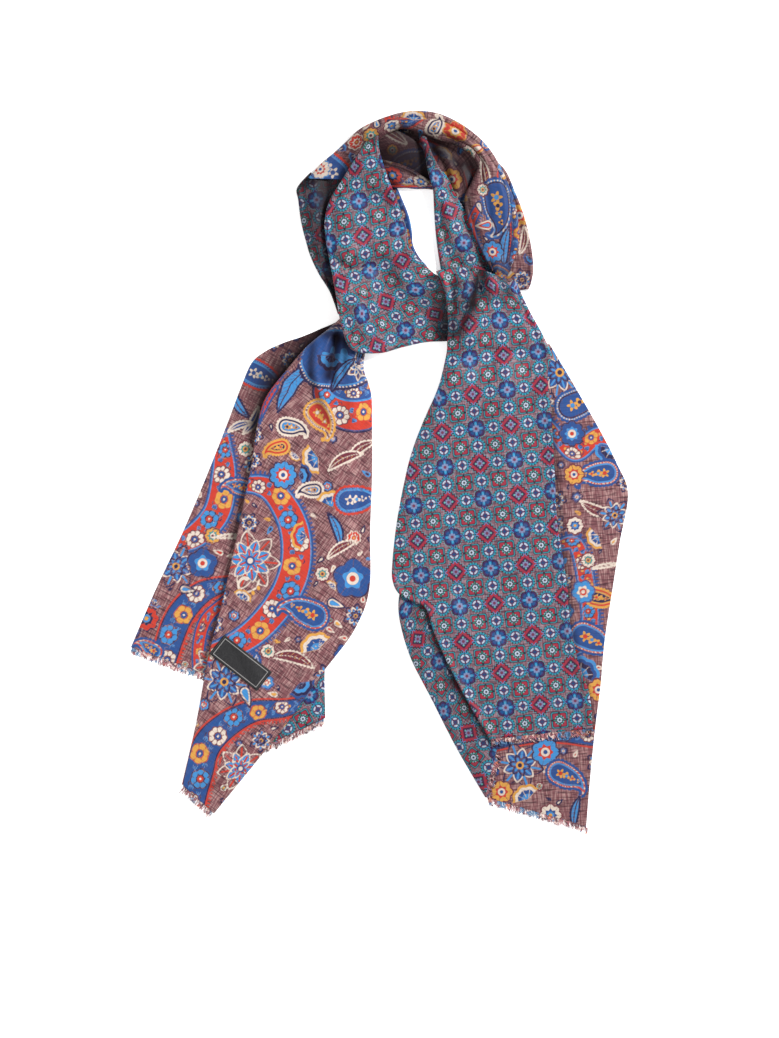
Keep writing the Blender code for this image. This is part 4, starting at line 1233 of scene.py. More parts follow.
def printFor(places, name, seed):
    # all the motifs of one layer, and small drops and blossoms in the gaps between them
    rng = random.Random(seed)
    made = [
        {"path": path, "widths": widths, "inks": colourways["band"][colours]}
        for path, widths, colours in bands.get(name, ())
    ]
    taken = []
    for band in made:
        circles = (smoothly(values, 60) for values in (*zip(*band["path"]), band["widths"]))
        taken += [(x, y, wide + 3) for x, y, wide in zip(*circles)]
    for kind, x, y, size, turned, colours, *rest in motifs[name]:
        extra = rest[0] if rest else {}
        inks = colourways[kind][colours]
        made.append({"kind": kind, "x": x, "y": y, "size": size, "turn": turned, "inks": inks, **extra})
        taken.append((x, y, size * 0.86))
    low, high = places.reshape(-1, 2).min(0), places.reshape(-1, 2).max(0)
    tries = int((high - low).prod() / scatter["spread"] ** 2 * scatter["tries"])
    last = len(smallMotifs) - 1
    filling = []
    for i in range(tries):
        # each kind in its turn, then whichever still fits
        if i < tries / 2:
            picked = min(int(i / tries * 1.6 * len(smallMotifs)), last)
        else:
            picked = rng.randrange(scatter["small"], len(smallMotifs))
        kind, colours, size = smallMotifs[picked]
        x, y = rng.uniform(low[0], high[0]), rng.uniform(low[1], high[1])
        if all(math.hypot(x - a, y - b) > r + size * 0.72 for a, b, r in taken):
            inks = colourways[kind][colours[rng.randrange(len(colours))]]
            turned = rng.uniform(0, 360)
            filling.append({
                "kind": kind, "x": x, "y": y, "size": size * rng.uniform(0.8, 1.15),
                "turn": turned, "inks": inks, "petals": 6,
            })
            taken.append((x, y, size + 1.6))
    return filling + made


def linear(colour, tint=(1, 1, 1)):
    parts = [int(colour[i : i + 2], 16) / 255 for i in (1, 3, 5)]
    parts = [p / 12.92 if p <= 0.04045 else ((p + 0.055) / 1.055) ** 2.4 for p in parts]
    return (*(p * t for p, t in zip(parts, tint)), 1)


def add(tree, kind, inputs=(), **settings):
    # one node: its settings, then its inputs as values or as outputs of other nodes
    made = tree.nodes.new(kind)
    for name, value in settings.items():
        setattr(made, name, value)
    for name, value in dict(inputs).items():
        if isinstance(value, Signal):
            value = value.socket
        if isinstance(value, bpy.types.NodeSocket):
            tree.links.new(value, made.inputs[name])
        else:
            made.inputs[name].default_value = value
    return made


class Signal:
    # a number that varies over the cloth, so patterns can be written down as sums
    def __init__(self, tree, socket):
        self.tree = tree
        self.socket = socket

    def calculated(self, operation, *others, **settings):
        inputs = {0: self, **{i + 1: other for i, other in enumerate(others)}}
        made = add(self.tree, "ShaderNodeMath", inputs, operation=operation, **settings)
        return Signal(self.tree, made.outputs[0])

    def __add__(self, other):
        return self.calculated("ADD", other)

    def __sub__(self, other):
        return self.calculated("SUBTRACT", other)

    def __mul__(self, other):
        return self.calculated("MULTIPLY", other)

    def __truediv__(self, other):
        return self.calculated("DIVIDE", other)

    def __abs__(self):
        return self.calculated("ABSOLUTE")

    def under(self, other):
        return self.calculated("MINIMUM", other)

    def over(self, other):
        return self.calculated("MAXIMUM", other)

    def far(self, other):
        return ((self * self) + (other * other)).calculated("SQRT")

    def wave(self):
        return self.calculated("SINE")

    def repeated(self, pitch):
        # from the nearest multiple of the pitch
        return self - (self / pitch).calculated("ROUND") * pitch

    def odd(self, pitch):
        return (self / pitch).calculated("ROUND").calculated("FLOORED_MODULO", 2)

    def mask(self, softness=0.28):
        # 1 where a distance is below nought
        half = self * (-0.5 / softness)
        return half.calculated("ADD", 0.5, use_clamp=True)


def mixed(tree, share, first, second):
    # the sockets for colours are the third pair
    inputs = {0: share, 6: first, 7: second}
    return add(tree, "ShaderNodeMix", inputs, data_type="RGBA").outputs[2]


def noise(tree, places, pull, scale, detail=2.0):
    # pull below 1 draws the grain out that way
    moved = add(tree, "ShaderNodeMapping", {"Vector": places, "Scale": pull})
    inputs = {"Vector": moved.outputs[0], "Scale": scale, "Detail": detail}
    return Signal(tree, add(tree, "ShaderNodeTexNoise", inputs).outputs["Fac"])


def ramped(signal, low, high, least=0.0, most=1.0):
    made = add(
        signal.tree,
        "ShaderNodeMapRange",
        {"Value": signal, "From Min": low, "From Max": high, "To Min": least, "To Max": most},
    )
    return Signal(signal.tree, made.outputs[0])


def newMaterial(name):
    made = bpy.data.materials.new(name)
    made.use_nodes = True
    tree = made.node_tree
    shader = tree.nodes["Principled BSDF"]
    return made, tree, shader


def setShader(shader, values):
    for name, value in values.items():
        shader.inputs[name].default_value = value


def woven(tree, places, base, light, dark, tint=(1, 1, 1)):
    # a heathered ground: threads both ways that take the dye unevenly. Real slubs are about 0.1 mm
    # thick, and these are drawn about 1.5 mm thick, so that they show at this size
    slubs = 680
    across = noise(tree, places, (1, 0.1, 1), slubs)
    along = noise(tree, places, (0.1, 1, 1), slubs)
    patches = noise(tree, places, (1, 1, 1), 60)
    shade = mixed(tree, ramped(across, 0.46, 0.62, 0, 0.82), linear(base, tint), linear(light, tint))
    shade = mixed(tree, ramped(along, 0.48, 0.64, 0, 0.75), shade, linear(dark, tint))
    shade = mixed(tree, ramped(patches, 0.35, 0.7, 0, 0.3), shade, linear(dark, tint))
    return shade, across, along


def silkShader(tree, shader, places, across, along, shade):
    # printed silk twill: a soft sheen at glancing light, and ribs too fine to see one by one
    fine = (across + along) * 0.5
    wrinkles = noise(tree, places, (1, 0.35, 1), 55, 3)
    inputs = {"Height": wrinkles, "Strength": 0.35, "Distance": 0.0016}
    low = add(tree, "ShaderNodeBump", inputs)
    inputs = {"Height": fine, "Strength": 0.3, "Distance": 0.0002, "Normal": low.outputs[0]}
    bump = add(tree, "ShaderNodeBump", inputs)
    tree.links.new(shade, shader.inputs["Base Color"])
    tree.links.new(bump.outputs[0], shader.inputs["Normal"])
    setShader(shader, {
        "Roughness": 0.5, "Specular IOR Level": 0.12,
        "Sheen Weight": 0.06, "Sheen Roughness": 0.45, "Sheen Tint": linear("#e6c8c0"),
    })


def withPaintedShade(tree, colour):
    # painted shade: the colour is mixed towards near black as far as the painted shade attribute on the
    # mesh says, deep inside the folds where hardly any light comes in
    paintedShade = add(tree, "ShaderNodeAttribute", attribute_name="paintedShade", attribute_type="GEOMETRY")
    return mixed(tree, Signal(tree, paintedShade.outputs["Fac"]), colour, linear("#160b10"))


def paisleyMaterial():
    # the paisley side: the inks lie on a mauve-brown ground and let a little of it through
    made, tree, shader = newMaterial("silkPaisley")
    places = add(tree, "ShaderNodeUVMap", uv_map="cloth").outputs[0]
    shade, across, along = woven(tree, places, "#84565a", "#c49c98", "#3c222b")
    for name, colour in inkColours.items():
        kept = {"attribute_name": "ink " + name, "attribute_type": "GEOMETRY"}
        values = Signal(tree, add(tree, "ShaderNodeAttribute", **kept).outputs["Fac"])
        shade = mixed(tree, ramped(values, -0.35, 0.35, 0, 0.93), shade, linear(colour))
    # the dye goes into the threads, so the print has their unevenness
    worn = ramped(across * along, 0.2, 0.36, 0.0, 0.22)
    shade = mixed(tree, worn, shade, linear("#4d3238"))
    # painted shade darkens the print and its ground deep in the folds
    silkShader(tree, shader, places, across, along, withPaintedShade(tree, shade))
    return made


# the geometric print: from one motif to the next, what all its colours are brought down by to the
# dusty look of the cloth, and how much of the ground an ink covers
foulard = {
    "pitch": 17.2,
    "tint": (0.56, 0.7, 0.78),
    "cover": 0.92,
}


def foulardMaterial():
    # the geometric side: circles, stepped squares, and red and blue flowers in turn
    made, tree, shader = newMaterial("silkFoulard")
    places = add(tree, "ShaderNodeUVMap", uv_map="cloth").outputs[0]
    tint, pitch = foulard["tint"], foulard["pitch"]
    shade, across, along = woven(tree, places, "#a26870", "#dfa8aa", "#4c2836", tint)
    parts = add(tree, "ShaderNodeSeparateXYZ", {"Vector": places})
    u, v = Signal(tree, parts.outputs[0]) * 1000, Signal(tree, parts.outputs[1]) * 1000

    def printed(shade, where, shapes):
        for away, colour in shapes:
            share = where * away.mask() * foulard["cover"]
            shade = mixed(tree, share, shade, linear(colour, tint))
        return shade

    # each motif is painted from its dark outline inwards, in millimetres from its middle
    outline, teal, pale, scarlet = "#1e1830", "#3bb0b4", "#ece6ee", "#cf3848"
    x, y = u.repeated(pitch), v.repeated(pitch)
    ax, ay = abs(x), abs(y)
    least = ax.under(ay)
    r, angle = x.far(y), y.calculated("ARCTAN2", x)
    circle = abs(u.odd(pitch) - v.odd(pitch))
    bead = ((angle * (15 / (2 * math.pi))).calculated("FRACT") - 0.5) * 2.6
    star = ((ax.calculated("SQRT") + ay.calculated("SQRT")) - 2.05) * 1.6
    shade = printed(shade, circle, (
        (r - 7.7, outline), (bead.far(r - 6.6) - 0.95, teal), (abs(r - 5.6) - 0.45, "#2c90b2"),
        (r - 4.6, "#7c3156"), ((abs(r - 3.5) - 0.85).over(least * -1 + 0.8), pale),
        (star, "#1c4f7c"),
    ))
    turns = (u / (2 * pitch)).calculated("ROUND") + (v / (2 * pitch)).calculated("ROUND")
    red = turns.calculated("FLOORED_MODULO", 2)
    blue = red * -1 + 1
    always = red + blue
    # squares: stepped corners, red brackets and a white rosette with a dark dot
    x, y = abs((u - pitch).repeated(2 * pitch)), abs((v - pitch).repeated(2 * pitch))
    least, most = x.under(y), x.over(y)
    r, angle = x.far(y), y.calculated("ARCTAN2", x)
    rosette = r - (angle * 8).calculated("COSINE") * 0.35
    stepped = most.over((x + y) * 0.545)
    shade = printed(shade, always, (
        (stepped - 8.5, outline), ((abs(stepped - 7.5) - 0.38).over(least * -1 + 1.0), teal),
        ((abs(stepped - 5.1) - 1.3).over(least * -1 + 1.3), scarlet), (most - 3.9, "#2c2032"),
        ((abs(most - 4.6) - 1.2).over(least - 0.6), "#3f9a7c"),
        ((most - 3.6).far(least - 2.0) - 0.8, "#7fc8c0"), (rosette - 3.1, outline),
        (rosette - 2.5, pale), (r - 1.1, "#120e1a"),
    ))
    # red flowers: a serrated diamond round a small rosette
    x, y = abs(u.repeated(2 * pitch)), abs(v.repeated(2 * pitch))
    least, most = x.under(y), x.over(y)
    r, angle = x.far(y), y.calculated("ARCTAN2", x)
    rosette = r - (angle * 8).calculated("COSINE") * 0.35
    diamond = x + y + abs((x - y).repeated(4.6)) * 0.95
    dashes = abs((x - y).repeated(2.3)) - 0.75
    shade = printed(shade, red, (
        ((abs(diamond - 14.9) * 0.7 - 0.42).over(dashes), teal), ((diamond - 14.0) * 0.7, outline),
        ((diamond - 12.2) * 0.7, scarlet), ((x + y - 7.4) * 0.7, "#3a2748"),
        ((most - 3.8).far(least) - 0.95, "#6fd0b8"), (rosette - 3.2, "#a096b8"),
        (r - 1.5, "#8a2c4a"),
    ))
    # blue flowers: eight lobes with violet tips, a light star and a pale centre
    lobes = abs((angle * 4).calculated("COSINE")) * 1.5 + (angle * 4).calculated("COSINE") * 0.5
    bead = ((angle * (28 / (2 * math.pi))).calculated("FRACT") - 0.5) * 2.2
    shade = printed(shade, blue, (
        (bead.far(r - lobes - 9.4) - 0.6, teal), (r - lobes - 8.7, outline),
        ((most - 9.2).far(least * 1.15) - 2.3, outline), (r - lobes - 7.8, "#4a2f66"),
        ((most - 9.0).far(least * 1.15) - 1.6, "#5e2c66"), (r - lobes * 0.7 - 6.3, "#1f5c92"),
        ((abs(least - most * 0.41) - 0.28).over(abs(r - 6.2) - 1.6), outline),
        (((most - 4.4) * 0.55).far(least) - 1.2, "#4fb0d4"), (rosette - 3.5, "#a09fc0"),
        (r - 1.5, "#8a2c4a"),
    ))
    # light hooks where the flowers' points come near the circles
    hook = (abs(least - abs(most - 10.4) * 0.75 - 0.5) - 0.42).over(abs(most - 10.4) - 2.2)
    shade = printed(shade, always, ((hook, "#4fa8d6"),))
    # the dye goes into the threads here too
    worn = ramped(across * along, 0.2, 0.34, 0.0, 0.3)
    shade = mixed(tree, worn, shade, linear("#7d5058", tint))
    # painted shade darkens the print and its ground deep in the folds
    silkShader(tree, shader, places, across, along, withPaintedShade(tree, shade))
    return made


def normals(grid):
    normal = np.cross(np.gradient(grid, axis=1), np.gradient(grid, axis=0))
    return normal / np.maximum(np.linalg.norm(normal, axis=-1, keepdims=True), 1e-9)


def thinned(count, step):
    return list(range(0, count - 1, step)) + [count - 1]


def twoSkins(grid, step, thickness):
    # the first skin has every point and the other one every step-th, joined all round the border
    rows, columns = grid.shape[:2]
    offset = normals(grid) * thickness / 2
    keptRows, keptColumns = thinned(rows, step), thinned(columns, step)
    kept = np.ix_(keptRows, keptColumns)
    points = np.concatenate([(grid + offset).reshape(-1, 3), (grid - offset)[kept].reshape(-1, 3)])
    number = np.arange(rows * columns).reshape(rows, columns)
    other = rows * columns + np.arange(kept[0].size * kept[1].size).reshape(kept[0].size, -1)
    first = np.stack([number[:-1, :-1], number[:-1, 1:], number[1:, 1:], number[1:, :-1]], -1)
    second = np.stack([other[:-1, :-1], other[1:, :-1], other[1:, 1:], other[:-1, 1:]], -1)
    faces = first.reshape(-1, 4).tolist() + second.reshape(-1, 4).tolist()
    split = len(number[:-1, :-1].ravel())

    def seam(dense, coarse, kept):
        for i in range(len(kept) - 1):
            run = dense[kept[i] : kept[i + 1] + 1].tolist()
            faces.append([*run[::-1], int(coarse[i]), int(coarse[i + 1])])

    seam(number[0], other[0], keptColumns)
    seam(number[:, -1], other[:, -1], keptRows)
    seam(number[-1, ::-1], other[-1, ::-1], [columns - 1 - c for c in keptColumns[::-1]])
    seam(number[::-1, 0], other[::-1, 0], [rows - 1 - r for r in keptRows[::-1]])
    return points, faces, split, kept


def addMesh(name, points, faces, finishes):
    mesh = bpy.data.meshes.new(name)
    placed = (np.asarray(points) - (cloth["originX"], cloth["originY"], 0)) * millimetre
    mesh.from_pydata(placed, [], faces)
    for finish in finishes:
        mesh.materials.append(finish)
    mesh.shade_smooth()
    made = bpy.data.objects.new(name, mesh)
    bpy.context.scene.collection.objects.link(made)
    return made


def setPlaces(mesh, places):
    # where each point lies on the flat cloth, in metres
    corners = np.zeros(len(mesh.loops), np.int32)
    mesh.loops.foreach_get("vertex_index", corners)
    mesh.uv_layers.new(name="cloth").uv.foreach_set("vector", places[corners].ravel())


def setValues(mesh, name, values):
    mesh.attributes.new(name, "FLOAT", "POINT").data.foreach_set("value", values)


def triangles(mesh):
    return sum(len(polygon.vertices) - 2 for polygon in mesh.polygons)


def turnedBy(places, degrees):
    angle = math.radians(degrees)
    rows = [[math.cos(angle), -math.sin(angle)], [math.sin(angle), math.cos(angle)]]
    return places @ np.array(rows)


def addCloth(name, grid, weave, look):
    # weave is where each point falls on the flat cloth; look says what is printed on it
    points, faces, split, kept = twoSkins(grid, look["otherStep"], cloth["wall"])
    up, down = ("foulard", "paisley") if look["up"] == "foulard" else ("paisley", "foulard")
    made = addMesh(name, points, faces, [materials[up], materials[down]])
    mesh = made.data
    which = np.zeros(len(mesh.polygons), np.int32)
    which[split : split + (len(kept[0]) - 1) * (kept[1].shape[1] - 1)] = 1
    mesh.polygons.foreach_set("material_index", which)
    weave = turnedBy(weave, look.get("grain", 0))
    both = np.concatenate([weave.reshape(-1, 2), weave[kept].reshape(-1, 2)])
    setPlaces(mesh, both * millimetre)
    if "print" in look:
        places, drawn = look["print"]
        silk = Print(places)
        for motif in drawn:
            if "path" in motif:
                paintBand(silk, motif)
            else:
                paintMotif(silk, motif)
        hidden = np.full(len(points) - len(silk.places), unprinted)
        for ink, values in silk.inks.items():
            setValues(mesh, "ink " + ink, np.concatenate([values, hidden]))
    # painted shade, kept on both skins as a point attribute
    paintedShade = look["paintedShade"]
    setValues(mesh, "paintedShade", np.concatenate([paintedShade.ravel(), paintedShade[kept].ravel()]))
    mesh.update()
    print(f"{name}: {triangles(mesh)} triangles")
    return made


# painted shade over a whole stretch: how much darker its colour is made, as less light reaches it than
# the open layers
paintedShadePerStretch = {
    "neckArch": 0.34, "neckInner": 0.55, "neckFlap": 0.8, "neckInnerFold": 0.4,
    "neckLeftUnder": 0.62, "neckOuterRight": 0.3, "rightTailBack": 0.12, "neckFrontUnder": 0.2,
    "knotFront": 0.04, "neckFrontBand": 0.06, "neckRightStrip": 0.12,
}
# painted shadows, where hardly any light comes in: from, to, how far round, how dark, in millimetres
paintedShadows = {
    "leftTailBack": (
        (-55, 137, -93, 88, 27, 0.97), (-93, 88, -114, 50, 16, 0.92),
        (-118, 46, -138, -60, 5, 0.55), (-138, -60, -190, -300, 4, 0.4),
    ),
    "leftTailFront": (
        (-37, 136, -45, 97, 7, 0.9), (-26, 126, -16, 96, 4, 0.45),
        (-61, 137, -63, 98, 4, 0.6), (-63, 98, -45, 53, 3.5, 0.5),
        (-60, 143, -5, 122, 6, 0.75), (-27, 132, -30, 112, 3.5, 0.55),
    ),
    "neckLeftUnder": (
        (-48, 292, -43, 250, 13, 0.9), (-43, 250, -36, 175, 13, 0.88), (-78, 283, -18, 300, 6, 0.8),
    ),
    "neckFlap": ((2, 312, 50, 310, 13, 0.9), (4, 296, 56, 292, 12, 0.92), (20, 338, 50, 322, 6, 0.7)),
    "neckInner": (
        (24, 330, 62, 318, 9, 0.9), (62, 318, 90, 300, 9, 0.85), (90, 300, 96, 262, 8, 0.85),
        (96, 262, 108, 215, 7, 0.8), (70, 285, 86, 240, 5, 0.5),
    ),
    "neckOuterRight": ((100, 290, 116, 268, 8, 0.8), (116, 268, 126, 200, 7, 0.75)),
    "neckRightStrip": ((40, 332, 54, 306, 7, 0.75), (60, 192, 118, 194, 9, 0.8)),
    "neckInnerFold": ((4, 308, 60, 288, 5, 0.8),),
    "rightTailBack": (
        (172, 66, 190, -131, 5, 0.5), (190, -131, 213, -249, 4, 0.45),
        (50, -129, 80, -202, 8, 0.8), (80, -202, 113, -260, 8, 0.75),
    ),
    "knotFront": (
        (104, 201, 95, 168, 7, 0.93), (95, 168, 82, 138, 6, 0.86), (79, 190, 76, 134, 4, 0.7),
        (119, 200, 129, 180, 4, 0.6),
        (91, 200, 84, 168, 3, 0.4),
    ),
    "neckFrontBand": ((74, 186, 68, 132, 11, 0.85), (-10, 326, 2, 330, 4, 0.5)),
    "neckArch": (
        (104, 208, 136, 196, 7, 0.7), (-30, 292, 0, 326, 5, 0.6), (-5, 325, 27, 338, 7, 0.6),
        (27, 338, 78, 322, 8, 0.65), (78, 322, 97, 302, 8, 0.6), (97, 302, 90, 268, 6, 0.6),
        (90, 268, 105, 218, 5, 0.55),
    ),
}


def paintedShadeMap(grid, whole, rows):
    # painted shade: how much each point's colour is darkened, for the light that the cloth round it keeps
    # off
    light = np.full(grid.shape[:2], 1.0 - whole)
    for startX, startY, endX, endY, reach, depth in rows:
        start, run = np.array([startX, startY]), np.array([endX - startX, endY - startY])
        share = np.clip(((grid[..., :2] - start) @ run) / (run @ run), 0, 1)
        away = np.linalg.norm(grid[..., :2] - start - share[..., None] * run, axis=-1)
        light *= 1 - depth * np.exp(-((away / reach) ** 2))
    return 1 - light


def clothArea(grid):
    first = np.cross(grid[1:, :-1] - grid[:-1, :-1], grid[:-1, 1:] - grid[:-1, :-1])
    second = np.cross(grid[1:, :-1] - grid[1:, 1:], grid[:-1, 1:] - grid[1:, 1:])
    return float(np.linalg.norm(first, axis=-1).sum() + np.linalg.norm(second, axis=-1).sum()) / 2


def cut(grid):
    # the flat size of a stretch, in metres
    widths = np.linalg.norm(np.diff(grid, axis=1), axis=-1).sum(1)
    lengths = np.linalg.norm(np.diff(grid, axis=0), axis=-1).sum(0)
    area = clothArea(grid) * millimetre**2
    size = widths.max() * millimetre, lengths.max() * millimetre
    return tuple(round(s, 4) for s in size), min(area, size[0] * size[1])


# a thread is about 0.5 mm thick, which is more than a real one, so that it shows at this size
fringe = {
    "length": 7.2,
    "radius": 0.26,
    "pitch": 0.3,
    "jitter": 0.2,
    "inset": 0.6,  # how far in from the hem a thread starts
    "scatter": 0.22,  # up and down within the hem
    "clearance": 0.45,  # of its tip over what lies below
    "shortest": 0.72,
    "longest": 1.12,
    "wander": 0.0065,  # metres
    "seed": 7,
}


def strandTree():
    # one thread on every root, turned to lie the way its root says
    tree = bpy.data.node_groups.new("threads", "GeometryNodeTree")
    face = tree.interface
    face.new_socket("Geometry", in_out="INPUT", socket_type="NodeSocketGeometry")
    sockets = {"Length": "Float", "Radius": "Float", "Seed": "Int", "Material": "Material"}
    for name, kind in sockets.items():
        face.new_socket(name, in_out="INPUT", socket_type="NodeSocket" + kind)
    face.new_socket("Geometry", in_out="OUTPUT", socket_type="NodeSocketGeometry")
    given = add(tree, "NodeGroupInput")
    length, radius, seed = (given.outputs[name] for name in ("Length", "Radius", "Seed"))
    straight = add(tree, "GeometryNodeCurvePrimitiveLine", {"End": (0, 0, 1)})
    inputs = {"Curve": straight.outputs[0], "Count": 6}
    strand = add(tree, "GeometryNodeResampleCurve", inputs)
    ring = add(tree, "GeometryNodeCurvePrimitiveCircle", {"Resolution": 5, "Radius": radius})
    way = add(tree, "GeometryNodeInputNamedAttribute", {"Name": "way"}, data_type="FLOAT_VECTOR")
    turned = add(tree, "FunctionNodeAlignRotationToVector", {"Vector": way.outputs[0]}, axis="Z")
    # the random sockets for a number are the second pair
    inputs = {"Seed": seed, 2: fringe["shortest"], 3: fringe["longest"]}
    chance = add(tree, "FunctionNodeRandomValue", inputs, data_type="FLOAT")
    reach = add(tree, "ShaderNodeMath", {0: chance.outputs[1], 1: length}, operation="MULTIPLY")
    scale = add(tree, "ShaderNodeCombineXYZ", {"X": 1.0, "Y": 1.0, "Z": reach.outputs[0]})
    spots = add(tree, "GeometryNodeInstanceOnPoints", {
        "Points": given.outputs[0], "Instance": strand.outputs[0],
        "Rotation": turned.outputs[0], "Scale": scale.outputs[0],
    })
    whole = add(tree, "GeometryNodeRealizeInstances", {0: spots.outputs[0]})
    # a free thread isn't straight: it wanders more towards its end
    part = add(tree, "GeometryNodeSplineParameter")
    here = add(tree, "GeometryNodeInputPosition")
    inputs = {"Vector": here.outputs[0], "Scale": 420, "Detail": 1.0}
    waver = add(tree, "ShaderNodeTexNoise", inputs)
    inputs = {0: waver.outputs["Color"], 1: (0.5, 0.5, 0.5)}
    centred = add(tree, "ShaderNodeVectorMath", inputs, operation="SUBTRACT")
    inputs = {0: part.outputs["Factor"], 1: fringe["wander"]}
    swing = add(tree, "ShaderNodeMath", inputs, operation="MULTIPLY")
    inputs = {0: centred.outputs[0], 1: (1, 1, 0.12)}
    flat = add(tree, "ShaderNodeVectorMath", inputs, operation="MULTIPLY")
    inputs = {0: flat.outputs[0], "Scale": swing.outputs[0]}
    moved = add(tree, "ShaderNodeVectorMath", inputs, operation="SCALE")
    inputs = {0: whole.outputs[0], "Offset": moved.outputs[0]}
    bent = add(tree, "GeometryNodeSetPosition", inputs)
    inputs = {"Curve": bent.outputs[0], "Profile Curve": ring.outputs[0], "Fill Caps": True}
    tube = add(tree, "GeometryNodeCurveToMesh", inputs)
    real = add(tree, "GeometryNodeRealizeInstances", {0: tube.outputs[0]})
    inputs = {0: real.outputs[0], "Material": given.outputs["Material"]}
    painted = add(tree, "GeometryNodeSetMaterial", inputs)
    out = add(tree, "NodeGroupOutput", {0: painted.outputs[0]})
    out.is_active_output = True
    return tree


def baked(piece, tree, values):
    # the tree's result as a plain mesh
    modifier = piece.modifiers.new("made", "NODES")
    modifier.node_group = tree
    for item in tree.interface.items_tree:
        if item.in_out == "INPUT" and item.name in values:
            modifier[item.identifier] = values[item.name]
    bpy.context.view_layer.update()
    graph = bpy.context.evaluated_depsgraph_get()
    made = bpy.data.meshes.new_from_object(piece.evaluated_get(graph))
    piece.modifiers.remove(modifier)
    old, piece.data = piece.data, made
    bpy.data.meshes.remove(old)


def addFringe(name, ground, hem, shown, seed):
    (endRow, nextRow), below = hem
    outward, _ = direction(nextRow[:, :2], endRow[:, :2])
    outward = outward.mean(0) / np.linalg.norm(outward.mean(0))
    side = np.array([-outward[1], outward[0]])
    reached = lengthsAlong(endRow)
    first, last = shown[0] * reached[-1] + 0.5, shown[1] * reached[-1] - 0.5
    rng = np.random.default_rng(seed)
    stops = np.arange(first, last, fringe["pitch"])
    stops = stops + rng.uniform(-fringe["jitter"], fringe["jitter"], len(stops))
    roots = np.stack([np.interp(stops, reached, endRow[:, axis]) for axis in (0, 1, 2)], 1)
    roots[:, :2] -= outward * fringe["inset"]
    roots[:, 2] += rng.uniform(-fringe["scatter"], fringe["scatter"], len(stops))
    # threads hang together in loose locks
    lock = np.sin(stops * 1.9 + seed) * 0.2 + np.sin(stops * 0.63) * 0.16
    lock = lock + rng.normal(0, 0.14, len(stops))
    ways = outward + side * lock[:, None]
    tips = roots[:, :2] + ways * fringe["length"]
    ground.felt = below
    lowest = ground.height(tips) - cloth["wall"] / 2 + fringe["radius"] + fringe["clearance"]
    drop = (lowest - roots[:, 2]) / fringe["length"]
    mesh = bpy.data.meshes.new(name)
    mesh.from_pydata((roots - (cloth["originX"], cloth["originY"], 0)) * millimetre, [], [])
    data = mesh.attributes.new("way", "FLOAT_VECTOR", "POINT")
    data.data.foreach_set("vector", np.column_stack([ways, drop]).astype(np.float32).ravel())
    piece = bpy.data.objects.new(name, mesh)
    bpy.context.scene.collection.objects.link(piece)
    baked(piece, threads, {
        "Length": fringe["length"] * millimetre,
        "Radius": fringe["radius"] * millimetre,
        "Seed": fringe["seed"] + seed,
        "Material": materials["thread"],
    })
    print(f"{name}: {triangles(piece.data)} triangles")
    return piece


def threadMaterial():
    # frayed silk yarn: mauve threads with scattered patches of darker plum, cream, blue and orange
    made, tree, shader = newMaterial("fringeThread")
    place = add(tree, "ShaderNodeTexCoord").outputs["Object"]
    patch = noise(tree, place, (1, 1, 1), 210)
    shade = mixed(tree, ramped(patch, 0.42, 0.58), linear("#a8656c"), linear("#5f3642"))
    for scale, low, high, colour in (
        (333, 0.54, 0.6, "#dcc0b6"), (95, 0.54, 0.6, "#4a769e"), (140, 0.6, 0.66, "#c87050"),
    ):
        patch = noise(tree, place, (1, 1, 1), scale)
        shade = mixed(tree, ramped(patch, low, high), shade, linear(colour))
    tree.links.new(shade, shader.inputs["Base Color"])
    setShader(shader, {"Roughness": 0.6, "Sheen Weight": 0.25})
    return made


label = {
    "length": 59.4,
    "width": 23.7,
    "thickness": 0.6,
    "x": -131.7,
    "y": -184.6,
    "turn": math.radians(-38),
    "frameX": 26.5,  # half the frame's length and width
    "frameY": 9.4,
    "stitches": 28.4,  # from the middle to the seam at either end
    "clearance": 0.15,
}


def addLabel(top):
    along = np.array([math.cos(label["turn"]), math.sin(label["turn"])])
    across = np.array([-along[1], along[0]])
    middle = np.array([label["x"], label["y"]])
    u = np.linspace(-label["length"] / 2, label["length"] / 2, 61)
    v = np.linspace(label["width"] / 2, -label["width"] / 2, 25)
    place = middle + u[:, None, None] * along + v[None, :, None] * across
    # every seventh point of the cloth round it is enough to lay it on
    near = top[np.all(np.abs(top[..., :2] - middle) < 45, -1)][::7]
    away = np.linalg.norm(place[:, :, None] - near[None, None, :, :2], axis=-1)
    weight = 1 / (away**3 + 1)
    heights = (weight * near[:, 2]).sum(-1) / weight.sum(-1)
    over = cloth["wall"] / 2 + label["thickness"] / 2 + label["clearance"]
    heights = np.maximum(heights, heights.mean()) + over
    # its two ends are folded under, so they stand a little higher
    end = label["length"] / 2 - np.abs(u)
    heights = heights + 0.35 * np.exp(-((end / 3.2) ** 4))[:, None]
    heights = heights - 0.3 * np.exp(-(((end - 3.4) / 0.7) ** 2))[:, None]
    points, faces, _, _ = twoSkins(withHeight(place, heights), 1, label["thickness"])
    made = addMesh("wovenLabel", points, faces, [materials["label"]])
    flat = np.stack(np.broadcast_arrays(u[:, None], v[None]), -1).reshape(-1, 2)
    setPlaces(made.data, np.concatenate([flat, flat]) * millimetre)
    return made


